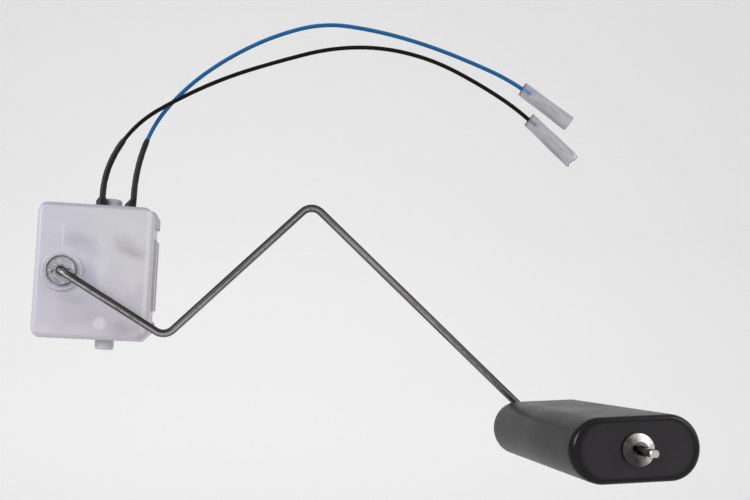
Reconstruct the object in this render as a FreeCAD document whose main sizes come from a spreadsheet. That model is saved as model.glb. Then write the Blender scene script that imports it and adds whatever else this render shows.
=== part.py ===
# Lever-arm level sensor: a float on a bent rod turns a wiper over a resistor card in a plastic case.
# Millimetres. X runs right along the case and Z runs up. The case's back face is y = 0 and its front
# faces -Y. The origin is where the pivot's axis meets the back face.
import FreeCAD, Part
import math
import os
from types import SimpleNamespace

import Sketcher

SIZES = (
    ("case_left", 9.3, "pivot axis to the left side of the case"),
    ("case_right", 29.0, "pivot axis to the right side"),
    ("case_top", 23.0, "pivot axis to the top"),
    ("case_bottom", 22.2, "pivot axis to the bottom"),
    ("rear_depth", 8.0, "back face to the parting line"),
    ("front_depth", 5.0, "parting line to the front face"),
    ("case_wall", 1.5, "wall of both covers"),
    ("corner_radius", 3.2, "left corners"),
    ("top_right_radius", 4.0, "top right corner"),
    ("corner_cut", 3.0, "slanted lower right corner"),
    ("face_radius", 1.8, "round between the front face and the sides"),
    ("back_chamfer", 0.3, "edge of the back face"),
    ("lip_thickness", 0.65, "rear cover's lip inside the front cover"),
    ("lip_height", 1.1, "lip above the parting line"),
    ("lip_clearance", 0.1, "lip to the front cover's rebate"),
    ("rod_diameter", 2.5, "arm rod"),
    ("bearing_clearance", 0.08, "rod to its bearings, radially"),
    ("bearing_width", 6.4, "outside of both bearing tubes"),
    ("front_bearing_reach", 1.6, "front bearing tube inside the case"),
    ("rear_bearing_reach", 3.4, "rear bearing tube above the floor"),
    ("bearing_floor", 1.7, "solid floor behind the rod's end"),
    ("boss_width", 13.4, "raised disc round the pivot"),
    ("boss_height", 1.0, "raised disc above the front face"),
    ("boss_blend", 0.4, "rounds of the raised disc"),
    ("peg_place", 13.7, "pivot axis to the mounting pegs"),
    ("peg_set", 3.9, "back face to the pegs' axis"),
    ("peg_width", 6.3, "mounting pegs"),
    ("peg_length", 3.2, "pegs beyond the top and the bottom"),
    ("peg_round", 0.9, "rounded ends of the pegs"),
    ("rail_proud", 0.8, "side rail beyond the right side"),
    ("rail_top", 12.9, "upper end of the side rail"),
    ("rail_bottom", 11.4, "lower end of the side rail, below the axis"),
    ("rail_depth", 6.5, "side rail and hook from the back face"),
    ("hook_bottom", 16.8, "lower end of the corner hook"),
    ("hook_radius", 3.0, "hook's rounded upper corner"),
    ("hook_drop", 0.3, "top of the hook below the top of the case"),
    ("bump_top", 14.8, "side bump's upper end, below the axis"),
    ("bump_bottom", 18.4, "side bump's lower end, below the axis"),
    ("bump_depth", 2.2, "side bump from the back face"),
    ("post_place", 13.1, "pivot axis to the two stop posts"),
    ("upper_post", 10.8, "upper post above the axis"),
    ("lower_post", 16.7, "lower post below the axis"),
    ("post_width", 3.6, "stop posts"),
    ("post_base", 5.4, "wide foot of the posts, which carries the card"),
    ("post_clearance", 0.15, "posts to the front cover"),
    ("seat_height", 1.0, "card above the rear cover's floor"),
    ("seat_width", 1.2, "ribs that carry the card"),
    ("card_left", 6.5, "pivot axis to the card's left edge"),
    ("card_right", 27.0, "pivot axis to the card's right edge"),
    ("card_top", 19.8, "card's upper edge"),
    ("card_bottom", 20.2, "card's lower edge, below the axis"),
    ("card_thickness", 0.8, "ceramic card"),
    ("card_corner", 1.4, "card's cut corners"),
    ("card_hole_clearance", 0.1, "card to the posts, radially"),
    ("ink_thickness", 0.1, "printed tracks"),
    ("track_clearance", 0.65, "ends of the tracks to the posts"),
    ("collector_radius", 16.4, "middle of the collector track"),
    ("collector_width", 1.6, "collector track"),
    ("track_pitch", 5.2, "middle of the collector track to the middle of the resistor track"),
    ("resistor_width", 3.2, "resistor track"),
    ("pad_height", 3.0, "solder pads"),
    ("lead_width", 1.0, "printed leads to the pads"),
    ("collector_lead_drop", 1.5, "collector lead below the upper post"),
    ("terminal_signal", 10.7, "pivot axis to the signal terminal"),
    ("terminal_ground", 20.2, "pivot axis to the ground terminal"),
    ("terminal_width", 2.8, "terminal blades"),
    ("terminal_thickness", 0.4, "terminal strip"),
    ("terminal_foot", 16.2, "lower end of the terminals' feet"),
    ("terminal_step", 19.2, "where the terminals turn forward"),
    ("terminal_reach", 3.8, "terminals beyond the top of the case"),
    ("tag_width", 1.2, "narrow tag that takes the wire"),
    ("tag_shoulder", 0.5, "where the blade starts to narrow"),
    ("tag_taper", 2.6, "height of the narrowing"),
    ("notch_clearance", 0.1, "covers to the terminals"),
    ("stop_clearance", 0.15, "wiper lever to the lower post at rest"),
    ("hub_width", 9.0, "rotor's hub"),
    ("hub_gap", 0.2, "hub to each bearing tube"),
    ("rotor_bore_clearance", 0.02, "hub to rod, radially"),
    ("rod_flat", 0.95, "rod's axis to its flat inside the hub"),
    ("lever_reach", 22.6, "lever's tip from the axis"),
    ("lever_root", 4.6, "lever's width at the hub"),
    ("lever_tip", 2.1, "lever's width at the tip"),
    ("lever_back", 5.7, "back face of the case to the lever"),
    ("lever_thickness", 2.0, "lever"),
    ("spring_thickness", 0.2, "wiper spring sheet"),
    ("spring_start", 6.2, "inner end of the wiper spring"),
    ("spring_fork", 12.4, "where the spring splits into two fingers"),
    ("spring_width", 3.0, "plate of the wiper spring"),
    ("finger_width", 0.9, "spring fingers"),
    ("finger_split", 0.4, "slot between the fingers"),
    ("finger_tip", 1.2, "flat tip of each finger"),
    ("contact_width", 0.8, "wiper contacts"),
    ("contact_height", 0.3, "wiper contacts"),
    ("contact_clearance", 0.05, "contacts to the tracks"),
    ("stud_place", 7.6, "first stud that holds the spring"),
    ("stud_pitch", 3.0, "first stud to second"),
    ("stud_width", 1.0, "studs that hold the spring"),
    ("stud_head", 1.7, "staked heads of the studs"),
    ("stud_head_height", 0.35, "staked heads of the studs"),
    ("rod_end", 2.0, "back face to the rod's inner end"),
    ("arm_plane", 18.5, "back face to the arm's plane"),
    ("elbow_across", 35.3, "lower bend from the axis"),
    ("elbow_down", 20.3, "lower bend below the axis"),
    ("knee_across", 81.2, "upper bend from the axis"),
    ("knee_up", 26.5, "upper bend above the axis"),
    ("float_across", 161.3, "float's axis from the pivot's"),
    ("float_down", 43.9, "float's axis below the pivot's"),
    ("arm_bend", 4.5, "middle radius of the elbow and knee"),
    ("end_bend", 3.0, "middle radius of the two end bends"),
    ("rod_chamfer", 0.3, "edges of the rod's ends"),
    ("float_length", 60.0, "float along its axis"),
    ("float_width", 35.0, "float's section across"),
    ("float_height", 17.1, "float's section"),
    ("float_round", 2.0, "edges of the float's two ends"),
    ("float_gap", 0.5, "end bend to the float"),
    ("float_tilt", 4.8, "float's right end up at rest, degrees"),
    ("float_clearance", 0.09, "float's bore to the rod, radially"),
    ("nut_sheet", 0.45, "sheet of both push nuts"),
    ("nut_gap", 0.15, "push nuts to what they hold"),
    ("nut_clearance", 0.02, "push nuts to the rod, radially"),
    ("pivot_nut_width", 10.1, "push nut at the pivot"),
    ("pivot_nut_rim", 1.2, "height of its turned rim"),
    ("pivot_nut_cup_width", 3.9, "raised centre"),
    ("pivot_nut_cup_height", 0.55, "raised centre above the sheet"),
    ("pivot_slot_length", 6.6, "slot that frees the pivot nut's prongs"),
    ("pivot_slot_width", 0.8, "slot that frees the pivot nut's prongs"),
    ("pivot_slot_tilt", 10.0, "pivot nut's slot, right end up, degrees"),
    ("float_nut_width", 8.5, "push nut at the float"),
    ("float_nut_rim", 0.5, "height of its rim"),
    ("float_nut_dome", 1.0, "dome above the rim"),
    ("float_nut_crown", 2.4, "flat crown of the dome, radius"),
    ("prong_slot_length", 4.6, "slot that frees the float nut's prongs"),
    ("prong_slot_width", 1.3, "slot that frees the float nut's prongs"),
    ("prong_slot_tilt", 20.0, "float nut's slot, right end down, degrees"),
    ("tail_length", 6.6, "rod beyond the float's nut"),
    ("tail_flat_length", 2.6, "pinched end of the rod"),
    ("tail_flat_thickness", 1.8, "pinched end of the rod"),
    ("wire_diameter", 1.4, "both lead wires"),
    ("shrink_wall", 0.27, "heat-shrink sleeve"),
    ("shrink_clearance", 0.08, "heat-shrink to the wire, radially"),
    ("shrink_length", 20.5, "heat-shrink along the wire"),
    ("flare_wall", 0.35, "heat-shrink round the terminal"),
    ("flare_inner_width", 3.25, "inside of the flare at the case"),
    ("flare_inner_depth", 1.1, "inside of the flare at the case"),
    ("flare_gap", 0.1, "flare to the case"),
    ("signal_collar", 1.7, "full width of the flare round the signal terminal, from its foot up"),
    ("signal_flare", 3.3, "flare round the signal terminal, from its foot to the round tube"),
    ("ground_collar", 0.6, "full width of the flare round the ground terminal, from its foot up"),
    ("ground_flare", 3.3, "flare round the ground terminal, from its foot to the round tube"),
    ("sleeve_length", 21.0, "insulating sleeve"),
    ("sleeve_start_width", 5.1, "sleeve where the wire goes in"),
    ("sleeve_start_height", 3.4, "sleeve where the wire goes in"),
    ("sleeve_mouth_width", 5.5, "sleeve's mouth"),
    ("sleeve_mouth_height", 3.9, "sleeve's mouth"),
    ("sleeve_wall", 0.3, "sleeve"),
    ("sleeve_notch", 2.2, "cut in one side of the black lead's mouth"),
    ("wire_in_sleeve", 5.0, "wire inside the sleeve"),
    ("barrel_start", 3.4, "crimp barrel from the sleeve's start"),
    ("barrel_length", 3.8, "crimp barrel"),
    ("barrel_wall", 0.3, "crimp barrel"),
    ("barrel_clearance", 0.05, "crimp barrel to the wire, radially"),
    ("neck_length", 2.0, "strip between barrel and receptacle"),
    ("neck_width", 1.6, "strip between barrel and receptacle"),
    ("box_length", 8.0, "blade receptacle"),
    ("box_width", 3.4, "blade receptacle"),
    ("box_slit", 0.8, "slit between the receptacle's rolled edges"),
)

# The lead wires are stiff and keep the arch that they were photographed in. These points guide it.
BLUE_ROUTE = (
    (21.2, -8.2, 27.0), (21.2, -8.2, 35.9), (26.4, -8.2, 53.0), (37.6, -8.2, 67.2),
    (51.4, -8.2, 78.4), (66.8, -8.0, 87.3), (83.7, -7.8, 93.2), (101.6, -7.6, 92.1),
    (119.1, -7.6, 88.7), (136.0, -7.8, 83.5), (152.8, -8.0, 77.1), (160.2, -8.0, 72.0),
)
BLACK_ROUTE = (
    (10.8, -8.2, 27.0), (10.8, -8.2, 35.9), (20.4, -11.2, 51.4), (35.9, -11.4, 61.9),
    (51.7, -11.2, 70.4), (68.7, -11.0, 77.1), (85.9, -11.0, 83.0), (104.1, -11.0, 84.8),
    (122.2, -11.0, 81.7), (138.7, -11.0, 74.5), (154.6, -11.0, 65.5), (161.4, -11.0, 59.5),
)
CORD_ARC_SHARE = 0.45
NEAR = 0.01


class Dim:
    """A length or angle with both its number and the sheet expression that gives it."""

    def __init__(self, value, text):
        self.value = value
        self.text = text

    def __add__(self, other):
        other = dim(other)
        return Dim(self.value + other.value, f"({self.text} + {other.text})")

    def __sub__(self, other):
        other = dim(other)
        return Dim(self.value - other.value, f"({self.text} - {other.text})")

    def __mul__(self, other):
        other = dim(other)
        return Dim(self.value * other.value, f"({self.text} * {other.text})")

    def __truediv__(self, other):
        other = dim(other)
        return Dim(self.value / other.value, f"({self.text} / {other.text})")

    def __neg__(self):
        return Dim(-self.value, f"(0 - {self.text})")

    def __radd__(self, other):
        return dim(other) + self

    def __rsub__(self, other):
        return dim(other) - self

    def __rmul__(self, other):
        return dim(other) * self


def dim(value):
    """value as a Dim. A plain number stays that number in the expression."""
    return value if isinstance(value, Dim) else Dim(float(value), repr(float(value)))


def sine(angle):
    """Sine of an angle in degrees."""
    return Dim(math.sin(math.radians(angle.value)), f"sin({angle.text})")


def cosine(angle):
    """Cosine of an angle in degrees."""
    return Dim(math.cos(math.radians(angle.value)), f"cos({angle.text})")


def angle_of(across, up):
    """The angle in degrees of a direction, from its two lengths."""
    return Dim(math.degrees(math.atan2(up.value, across.value)), f"atan({up.text} / {across.text})")


def angle_across(side, reach):
    """The angle in degrees that a length covers when seen side on from a distance."""
    return Dim(math.degrees(math.asin(side.value / reach.value)), f"asin({side.text} / {reach.text})")


def side_of(reach, up):
    """The other side of a right triangle, from its longest side and one short one."""
    square = reach * reach - up * up
    return Dim(math.sqrt(square.value), f"sqrt({square.text})")


def distance(across, up):
    """The length of a direction's two lengths together."""
    square = across * across + up * up
    return Dim(math.sqrt(square.value), f"sqrt({square.text})")


def vector(x, y, z):
    """A FreeCAD vector from numbers or Dims."""
    return FreeCAD.Vector(dim(x).value, dim(y).value, dim(z).value)


doc = FreeCAD.newDocument("level_sensor")
sheet = doc.addObject("Spreadsheet::Sheet", "Sizes")
for row, (name, number, meaning) in enumerate(SIZES, 1):
    sheet.set(f"A{row}", name)
    sheet.set(f"B{row}", str(number))
    sheet.set(f"C{row}", meaning)
    sheet.setAlias(f"B{row}", name)
doc.recompute()
size = SimpleNamespace(**{row[0]: Dim(float(sheet.get(row[0])), f"Sizes.{row[0]}") for row in SIZES})

# The diagonal of a corner cut moves by this share of an inset.
CUT_SHARE = math.sqrt(2) - 1
CASE_DEPTH = size.rear_depth + size.front_depth
FRONT_INSIDE = CASE_DEPTH - size.case_wall
BOSS_FACE = CASE_DEPTH + size.boss_height
CARD_BACK = size.case_wall + size.seat_height
CARD_FACE = CARD_BACK + size.card_thickness
INK_FACE = CARD_FACE + size.ink_thickness
REAR_BEARING_FACE = size.case_wall + size.rear_bearing_reach
FRONT_BEARING_FACE = FRONT_INSIDE - size.front_bearing_reach
BEARING_BORE = size.rod_diameter + 2 * size.bearing_clearance
HUB_BACK = REAR_BEARING_FACE + size.hub_gap
HUB_LENGTH = FRONT_BEARING_FACE - size.hub_gap - HUB_BACK
PIVOT_NUT_BACK = BOSS_FACE + size.nut_gap
FLOAT_BACK = size.arm_plane + size.end_bend + size.float_gap
FLOAT_FRONT = FLOAT_BACK + size.float_length
FLOAT_NUT_BACK = FLOAT_FRONT + size.nut_gap
FLOAT_NUT_FACE = FLOAT_NUT_BACK + size.float_nut_rim + size.float_nut_dome
POST_RADIUS = size.post_width / 2
UPPER_POST_REACH = distance(size.post_place, size.upper_post)
LOWER_POST_REACH = distance(size.post_place, size.lower_post)
UPPER_POST_ANGLE = angle_of(size.post_place, size.upper_post)
LOWER_POST_ANGLE = angle_of(size.post_place, size.lower_post)
TRACK_START = UPPER_POST_ANGLE - angle_across(POST_RADIUS + size.track_clearance, UPPER_POST_REACH)
RESISTOR_RADIUS = size.collector_radius + size.track_pitch
TRACK_END = LOWER_POST_ANGLE - angle_across(POST_RADIUS + size.track_clearance, LOWER_POST_REACH)
LEVER_TAPER = angle_of(size.lever_reach, (size.lever_root - size.lever_tip) / 2)
LEVER_SIDE = size.lever_root / 2 * cosine(LEVER_TAPER)
LEVER_LEAN = angle_across(POST_RADIUS + size.stop_clearance + LEVER_SIDE, LOWER_POST_REACH)
LEVER_DROP = LOWER_POST_ANGLE + LEVER_TAPER - LEVER_LEAN
TERMINALS = {"signal_terminal": size.terminal_signal, "ground_terminal": size.terminal_ground}


def bind(item, prop, value):
    """Sets a property to a size and ties it to the sheet."""
    value = dim(value)
    setattr(item, prop, value.value)
    if "Sizes." in value.text:
        item.setExpression(prop, value.text)


def new_body(name):
    """An empty body whose label names its file."""
    made = doc.addObject("PartDesign::Body", name)
    made.Label = name
    return made


def place_body(body, x, z, angle, turns_up=True):
    """Puts a body's own axis at x, z and turns it about the Y direction."""
    axis = FreeCAD.Vector(0, -1 if turns_up else 1, 0)
    body.Placement = FreeCAD.Placement(vector(x, 0, z), FreeCAD.Rotation(axis, dim(angle).value))
    for prop, value in (("Base.x", x), ("Base.z", z), ("Rotation.Angle", angle)):
        if "Sizes." in dim(value).text:
            body.setExpression(f"Placement.{prop}", dim(value).text)


def sketch_on(body, name, plane, offset=0):
    """An empty sketch on the body's XY, XZ or YZ plane, moved along that plane's normal."""
    made = body.newObject("Sketcher::SketchObject", f"{body.Label}_{name}_sketch")
    base = next(f for f in body.Origin.OriginFeatures if f.Role == f"{plane}_Plane")
    made.AttachmentSupport = [(base, "")]
    made.MapMode = "FlatFace"
    offset = dim(offset)
    made.AttachmentOffset = FreeCAD.Placement(vector(0, 0, offset), FreeCAD.Rotation())
    if "Sizes." in offset.text:
        made.setExpression("AttachmentOffset.Base.z", offset.text)
    return made


def constrain(sketch, kind, *where):
    """Adds a sketch constraint whose last argument is a size."""
    value = dim(where[-1])
    number = sketch.addConstraint(Sketcher.Constraint(kind, *where[:-1], value.value))
    if "Sizes." in value.text:
        sketch.setExpression(f"Constraints[{number}]", value.text)


def fix_point(sketch, line, end, place):
    """Holds one end or centre of a sketch line at a place measured from the origin."""
    constrain(sketch, "DistanceX", -1, 1, line, end, place[0])
    constrain(sketch, "DistanceY", -1, 1, line, end, place[1])


def draw_polygon(sketch, corners):
    """A closed outline of straight lines."""
    first = sketch.GeometryCount
    places = [vector(x, y, 0) for x, y in corners]
    for start, end in zip(places, places[1:] + places[:1]):
        sketch.addGeometry(Part.LineSegment(start, end), False)
    for n, corner in enumerate(corners):
        follower = first + (n + 1) % len(corners)
        sketch.addConstraint(Sketcher.Constraint("Coincident", first + n, 2, follower, 1))
        fix_point(sketch, first + n, 1, corner)


def draw_rectangle(sketch, left, right, bottom, top):
    """An upright rectangle."""
    draw_polygon(sketch, ((left, bottom), (right, bottom), (right, top), (left, top)))


def draw_circle(sketch, x, y, width):
    """A circle of a given diameter."""
    width = dim(width)
    ring = Part.Circle(vector(x, y, 0), FreeCAD.Vector(0, 0, 1), width.value / 2)
    line = sketch.addGeometry(ring, False)
    constrain(sketch, "Diameter", line, width)
    fix_point(sketch, line, 3, (x, y))


def draw_stadium(sketch, length, width, upright=False):
    """Two half circles joined by straight sides, centred on the origin."""
    reach = (dim(length) - width) / 2
    radius = dim(width) / 2
    turn = math.pi / 2 if upright else 0
    ends = []
    for side in (1, -1):
        middle = (0, side * reach) if upright else (side * reach, 0)
        ring = Part.Circle(vector(*middle, 0), FreeCAD.Vector(0, 0, 1), radius.value)
        start = turn - side * math.pi / 2
        ends.append(sketch.addGeometry(Part.ArcOfCircle(ring, start, start + math.pi), False))
        fix_point(sketch, ends[-1], 3, middle)
    geometry = sketch.Geometry
    sides = []
    for this, other in (ends, reversed(ends)):
        run = Part.LineSegment(geometry[this].EndPoint, geometry[other].StartPoint)
        sides.append(sketch.addGeometry(run, False))
        sketch.addConstraint(Sketcher.Constraint("Tangent", this, 2, sides[-1], 1))
        sketch.addConstraint(Sketcher.Constraint("Tangent", sides[-1], 2, other, 1))
    sketch.addConstraint(Sketcher.Constraint("Equal", *ends))
    constrain(sketch, "Radius", ends[0], radius)


def pad(body, name, profile, length, reverse=False):
    """Adds a sketch's area, carried along its normal."""
    made = body.newObject("PartDesign::Pad", f"{body.Label}_{name}")
    made.Profile = profile
    bind(made, "Length", length)
    made.Reversed = reverse
    return made


def pocket(body, name, profile, depth=None, reverse=False):
    """Cuts a sketch's area against its normal, or along it if reversed. No depth cuts right through."""
    made = body.newObject("PartDesign::Pocket", f"{body.Label}_{name}")
    made.Profile = profile
    if depth is None:
        made.Type = "ThroughAll"
        made.Midplane = True
    else:
        bind(made, "Length", depth)
    made.Reversed = reverse
    return made


def revolve(body, name, profile, angle=360):
    """Turns a sketch about its own upright axis."""
    made = body.newObject("PartDesign::Revolution", f"{body.Label}_{name}")
    made.Profile = profile
    made.ReferenceAxis = (profile, ["V_Axis"])
    bind(made, "Angle", angle)
    return made


def edges_at(body, ring=False, **places):
    """Names of the edges that lie in all the given planes, such as x=3, z=-2. A ring closes on itself."""
    doc.recompute()
    found = []
    for number, edge in enumerate(body.Tip.Shape.Edges, 1):
        box = edge.BoundBox
        spans = {"x": (box.XMin, box.XMax), "y": (box.YMin, box.YMax), "z": (box.ZMin, box.ZMax)}
        inside = all(abs(end - dim(at).value) < NEAR for axis, at in places.items() for end in spans[axis])
        if inside and (edge.Closed or not ring):
            found.append(f"Edge{number}")
    return found


def dress(body, kind, name, amount, edges):
    """Rounds (Fillet) or cuts (Chamfer) the named edges."""
    base = body.Tip
    made = body.newObject(f"PartDesign::{kind}", f"{body.Label}_{name}")
    made.Base = (base, edges)
    bind(made, "Radius" if kind == "Fillet" else "Size", amount)
    return made


def draw_case(sketch, inset):
    """The case's outline moved inwards by inset: three round corners and a slanted lower right one."""
    inset = dim(inset)
    left = inset - size.case_left
    right = size.case_right - inset
    bottom = inset - size.case_bottom
    top = size.case_top - inset
    cut_across = size.case_right - size.corner_cut - inset * CUT_SHARE
    cut_up = size.corner_cut - size.case_bottom + inset * CUT_SHARE
    small = size.corner_radius - inset
    large = size.top_right_radius - inset
    rounds = []
    for x, y, radius, start in (
        (right - large, top - large, large, 0),
        (left + small, top - small, small, math.pi / 2),
        (left + small, bottom + small, small, math.pi),
    ):
        ring = Part.Circle(vector(x, y, 0), FreeCAD.Vector(0, 0, 1), radius.value)
        rounds.append(sketch.addGeometry(Part.ArcOfCircle(ring, start, start + math.pi / 2), False))
        fix_point(sketch, rounds[-1], 3, (x, y))
        constrain(sketch, "Radius", rounds[-1], radius)
    arcs = [sketch.Geometry[line] for line in rounds]
    foot = vector(cut_across, bottom, 0)
    shoulder = vector(right, cut_up, 0)
    for start, finish in (
        (shoulder, arcs[0].StartPoint),
        (arcs[0].EndPoint, arcs[1].StartPoint),
        (arcs[1].EndPoint, arcs[2].StartPoint),
        (arcs[2].EndPoint, foot),
        (foot, shoulder),
    ):
        sketch.addGeometry(Part.LineSegment(start, finish), False)
    sides = [rounds[-1] + n for n in range(1, 6)]
    for before, corner, after in zip(sides, rounds, sides[1:]):
        sketch.addConstraint(Sketcher.Constraint("Tangent", before, 2, corner, 1))
        sketch.addConstraint(Sketcher.Constraint("Tangent", corner, 2, after, 1))
    sketch.addConstraint(Sketcher.Constraint("Coincident", sides[3], 2, sides[4], 1))
    sketch.addConstraint(Sketcher.Constraint("Coincident", sides[4], 2, sides[0], 1))
    fix_point(sketch, sides[4], 1, (cut_across, bottom))
    fix_point(sketch, sides[4], 2, (right, cut_up))


def cut_terminal_notches(body, depth, bottom):
    """Two notches from the parting line forward, through the top wall, for the terminal blades."""
    for name, middle in TERMINALS.items():
        half = size.terminal_width / 2 + size.notch_clearance
        notch = sketch_on(body, f"{name}_notch", "XZ", size.rear_depth)
        draw_rectangle(notch, middle - half, middle + half, bottom, size.case_top + size.case_wall)
        pocket(body, f"{name}_notch", notch, depth, reverse=True)


def make_front_cover():
    """The smooth front shell with the raised pivot disc, its bearing tube and the rebate."""
    body = new_body("front_cover")
    outline = sketch_on(body, "outline", "XZ", size.rear_depth)
    draw_case(outline, 0)
    pad(body, "block", outline, size.front_depth)
    dress(body, "Fillet", "face_round", size.face_radius, edges_at(body, y=-CASE_DEPTH))
    inside = sketch_on(body, "inside", "XZ", size.rear_depth)
    draw_case(inside, size.case_wall)
    pocket(body, "inside", inside, size.front_depth - size.case_wall, reverse=True)
    rebate_inset = size.case_wall - size.lip_thickness - size.lip_clearance
    rebate = sketch_on(body, "rebate", "XZ", size.rear_depth)
    draw_case(rebate, rebate_inset)
    pocket(body, "rebate", rebate, size.lip_height + size.lip_clearance, reverse=True)
    disc = sketch_on(body, "disc", "XZ", CASE_DEPTH)
    draw_circle(disc, 0, 0, size.boss_width)
    pad(body, "disc", disc, size.boss_height)
    rings = edges_at(body, ring=True, y=-BOSS_FACE) + edges_at(body, ring=True, y=-CASE_DEPTH)
    dress(body, "Fillet", "disc_round", size.boss_blend, rings)
    tube = sketch_on(body, "tube", "XZ", FRONT_BEARING_FACE)
    draw_circle(tube, 0, 0, size.bearing_width)
    pad(body, "tube", tube, size.front_bearing_reach)
    bore = sketch_on(body, "bore", "XZ", CASE_DEPTH)
    draw_circle(bore, 0, 0, BEARING_BORE)
    pocket(body, "bore", bore)
    notch_depth = size.terminal_thickness + size.notch_clearance
    cut_terminal_notches(body, notch_depth, size.case_top - 2 * size.case_wall)
    return body


def make_rear_cover():
    """The deep rear shell with its lip, mounting pegs, side rail, stop posts and bearing tube."""
    body = new_body("rear_cover")
    outline = sketch_on(body, "outline", "XZ")
    draw_case(outline, 0)
    pad(body, "block", outline, size.rear_depth)
    dress(body, "Chamfer", "back_edge", size.back_chamfer, edges_at(body, y=0))
    add_pegs(body)
    add_side_rail(body)
    lip_inset = size.case_wall - size.lip_thickness
    lip = sketch_on(body, "lip", "XZ", size.rear_depth)
    draw_case(lip, lip_inset)
    pad(body, "lip", lip, size.lip_height)
    inside = sketch_on(body, "inside", "XZ", size.case_wall)
    draw_case(inside, size.case_wall)
    pocket(body, "inside", inside, size.rear_depth + size.lip_height, reverse=True)
    cut_terminal_notches(body, 2 * size.lip_height, size.case_top - 2 * size.case_wall)
    add_posts(body)
    tube = sketch_on(body, "tube", "XZ", size.case_wall)
    draw_circle(tube, 0, 0, size.bearing_width)
    pad(body, "tube", tube, size.rear_bearing_reach)
    bore = sketch_on(body, "bore", "XZ", REAR_BEARING_FACE)
    draw_circle(bore, 0, 0, BEARING_BORE)
    pocket(body, "bore", bore, REAR_BEARING_FACE - size.bearing_floor)
    return body


def add_pegs(body):
    """Round pegs on the top and the bottom, on one upright axis."""
    for name, base, down in (("upper", size.case_top, False), ("lower", -size.case_bottom, True)):
        profile = sketch_on(body, f"{name}_peg", "XY", base)
        draw_circle(profile, size.peg_place, -size.peg_set, size.peg_width)
        pad(body, f"{name}_peg", profile, size.peg_length, reverse=down)
        end = base - size.peg_length if down else base + size.peg_length
        dress(body, "Fillet", f"{name}_peg_round", size.peg_round, edges_at(body, z=end))


def add_side_rail(body):
    """The rail on the right side, the groove in front of it, the hook above and the bump below."""
    root = size.case_right - size.case_wall / 2
    crest = size.case_right + size.rail_proud
    hook = sketch_on(body, "hook", "XZ")
    draw_hook(hook, crest, size.hook_radius)
    pad(body, "hook", hook, size.rail_depth)
    rail = sketch_on(body, "rail", "XZ")
    draw_rectangle(rail, root, crest, -size.rail_bottom, size.rail_top)
    pad(body, "rail", rail, size.rail_depth)
    upper_end = edges_at(body, x=crest, z=size.rail_top)
    dress(body, "Chamfer", "rail_end", size.rail_proud - size.back_chamfer, upper_end)
    bump = sketch_on(body, "bump", "XZ")
    slant = size.bump_top + size.rail_proud
    outline = ((root, -size.bump_bottom), (crest, -size.bump_bottom), (crest, -slant))
    draw_polygon(bump, outline + ((size.case_right, -size.bump_top), (root, -size.bump_top)))
    pad(body, "bump", bump, size.bump_depth)
    groove = sketch_on(body, "groove", "XZ", size.rear_depth)
    draw_rectangle(groove, root, crest, -size.rail_bottom, size.rail_top)
    pocket(body, "groove", groove, size.rear_depth - size.rail_depth)


def draw_hook(sketch, crest, radius):
    """An upright strip whose outer upper corner follows the case's round corner."""
    centre = (crest - radius, size.case_top - size.hook_drop - radius)
    ring = Part.Circle(vector(*centre, 0), FreeCAD.Vector(0, 0, 1), radius.value)
    arc = sketch.addGeometry(Part.ArcOfCircle(ring, 0, math.pi / 2), False)
    fix_point(sketch, arc, 3, centre)
    constrain(sketch, "Radius", arc, radius)
    back = centre[0] - radius / 2
    outer = vector(crest, size.hook_bottom, 0)
    inner = vector(back, size.hook_bottom, 0)
    above = vector(back, centre[1] + radius, 0)
    ends = sketch.Geometry[arc]
    places = (ends.StartPoint, outer, inner, above, ends.EndPoint)
    for start, finish in zip(places, places[1:]):
        sketch.addGeometry(Part.LineSegment(start, finish), False)
    sketch.addConstraint(Sketcher.Constraint("Tangent", arc, 1, arc + 1, 1))
    sketch.addConstraint(Sketcher.Constraint("Coincident", arc + 1, 2, arc + 2, 1))
    sketch.addConstraint(Sketcher.Constraint("Coincident", arc + 2, 2, arc + 3, 1))
    sketch.addConstraint(Sketcher.Constraint("Coincident", arc + 3, 2, arc + 4, 1))
    sketch.addConstraint(Sketcher.Constraint("Tangent", arc + 4, 2, arc, 2))
    fix_point(sketch, arc + 2, 1, (crest, size.hook_bottom))
    fix_point(sketch, arc + 2, 2, (back, size.hook_bottom))
    constrain(sketch, "DistanceX", -1, 1, arc + 3, 2, back)


def add_posts(body):
    """Two posts on wide feet. They hold the card and stop the wiper lever."""
    tall = FRONT_INSIDE - size.post_clearance - CARD_BACK
    for name, up in (("upper", size.upper_post), ("lower", -size.lower_post)):
        foot = sketch_on(body, f"{name}_foot", "XZ", size.case_wall)
        draw_circle(foot, size.post_place, up, size.post_base)
        pad(body, f"{name}_foot", foot, size.seat_height)
        post = sketch_on(body, f"{name}_post", "XZ", CARD_BACK)
        draw_circle(post, size.post_place, up, size.post_width)
        pad(body, f"{name}_post", post, tall)
    ribs = sketch_on(body, "ribs", "XZ", size.case_wall)
    left = size.card_left + size.seat_width
    right = size.card_right - size.seat_width
    top = size.card_top - size.seat_width
    bottom = size.card_bottom - size.seat_width / 2
    draw_rectangle(ribs, left, right, top - size.seat_width, top)
    draw_rectangle(ribs, left, right, -bottom, size.seat_width / 2 - bottom)
    pad(body, "ribs", ribs, size.seat_height)


def make_resistor_card():
    """The ceramic card with its cut corners, on the posts."""
    body = new_body("resistor_card")
    outline = sketch_on(body, "outline", "XZ", CARD_BACK)
    cut = size.card_corner
    left, right, top, bottom = size.card_left, size.card_right, size.card_top, -size.card_bottom
    lower = ((left, bottom + cut), (left + cut, bottom), (right - cut, bottom), (right, bottom + cut))
    upper = ((right, top - cut), (right - cut, top), (left + cut, top), (left, top - cut))
    draw_polygon(outline, lower + upper)
    pad(body, "plate", outline, size.card_thickness)
    holes = sketch_on(body, "holes", "XZ", CARD_FACE)
    hole_width = size.post_width + 2 * size.card_hole_clearance
    draw_circle(holes, size.post_place, size.upper_post, hole_width)
    draw_circle(holes, size.post_place, -size.lower_post, hole_width)
    pocket(body, "holes", holes)
    return body


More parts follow.
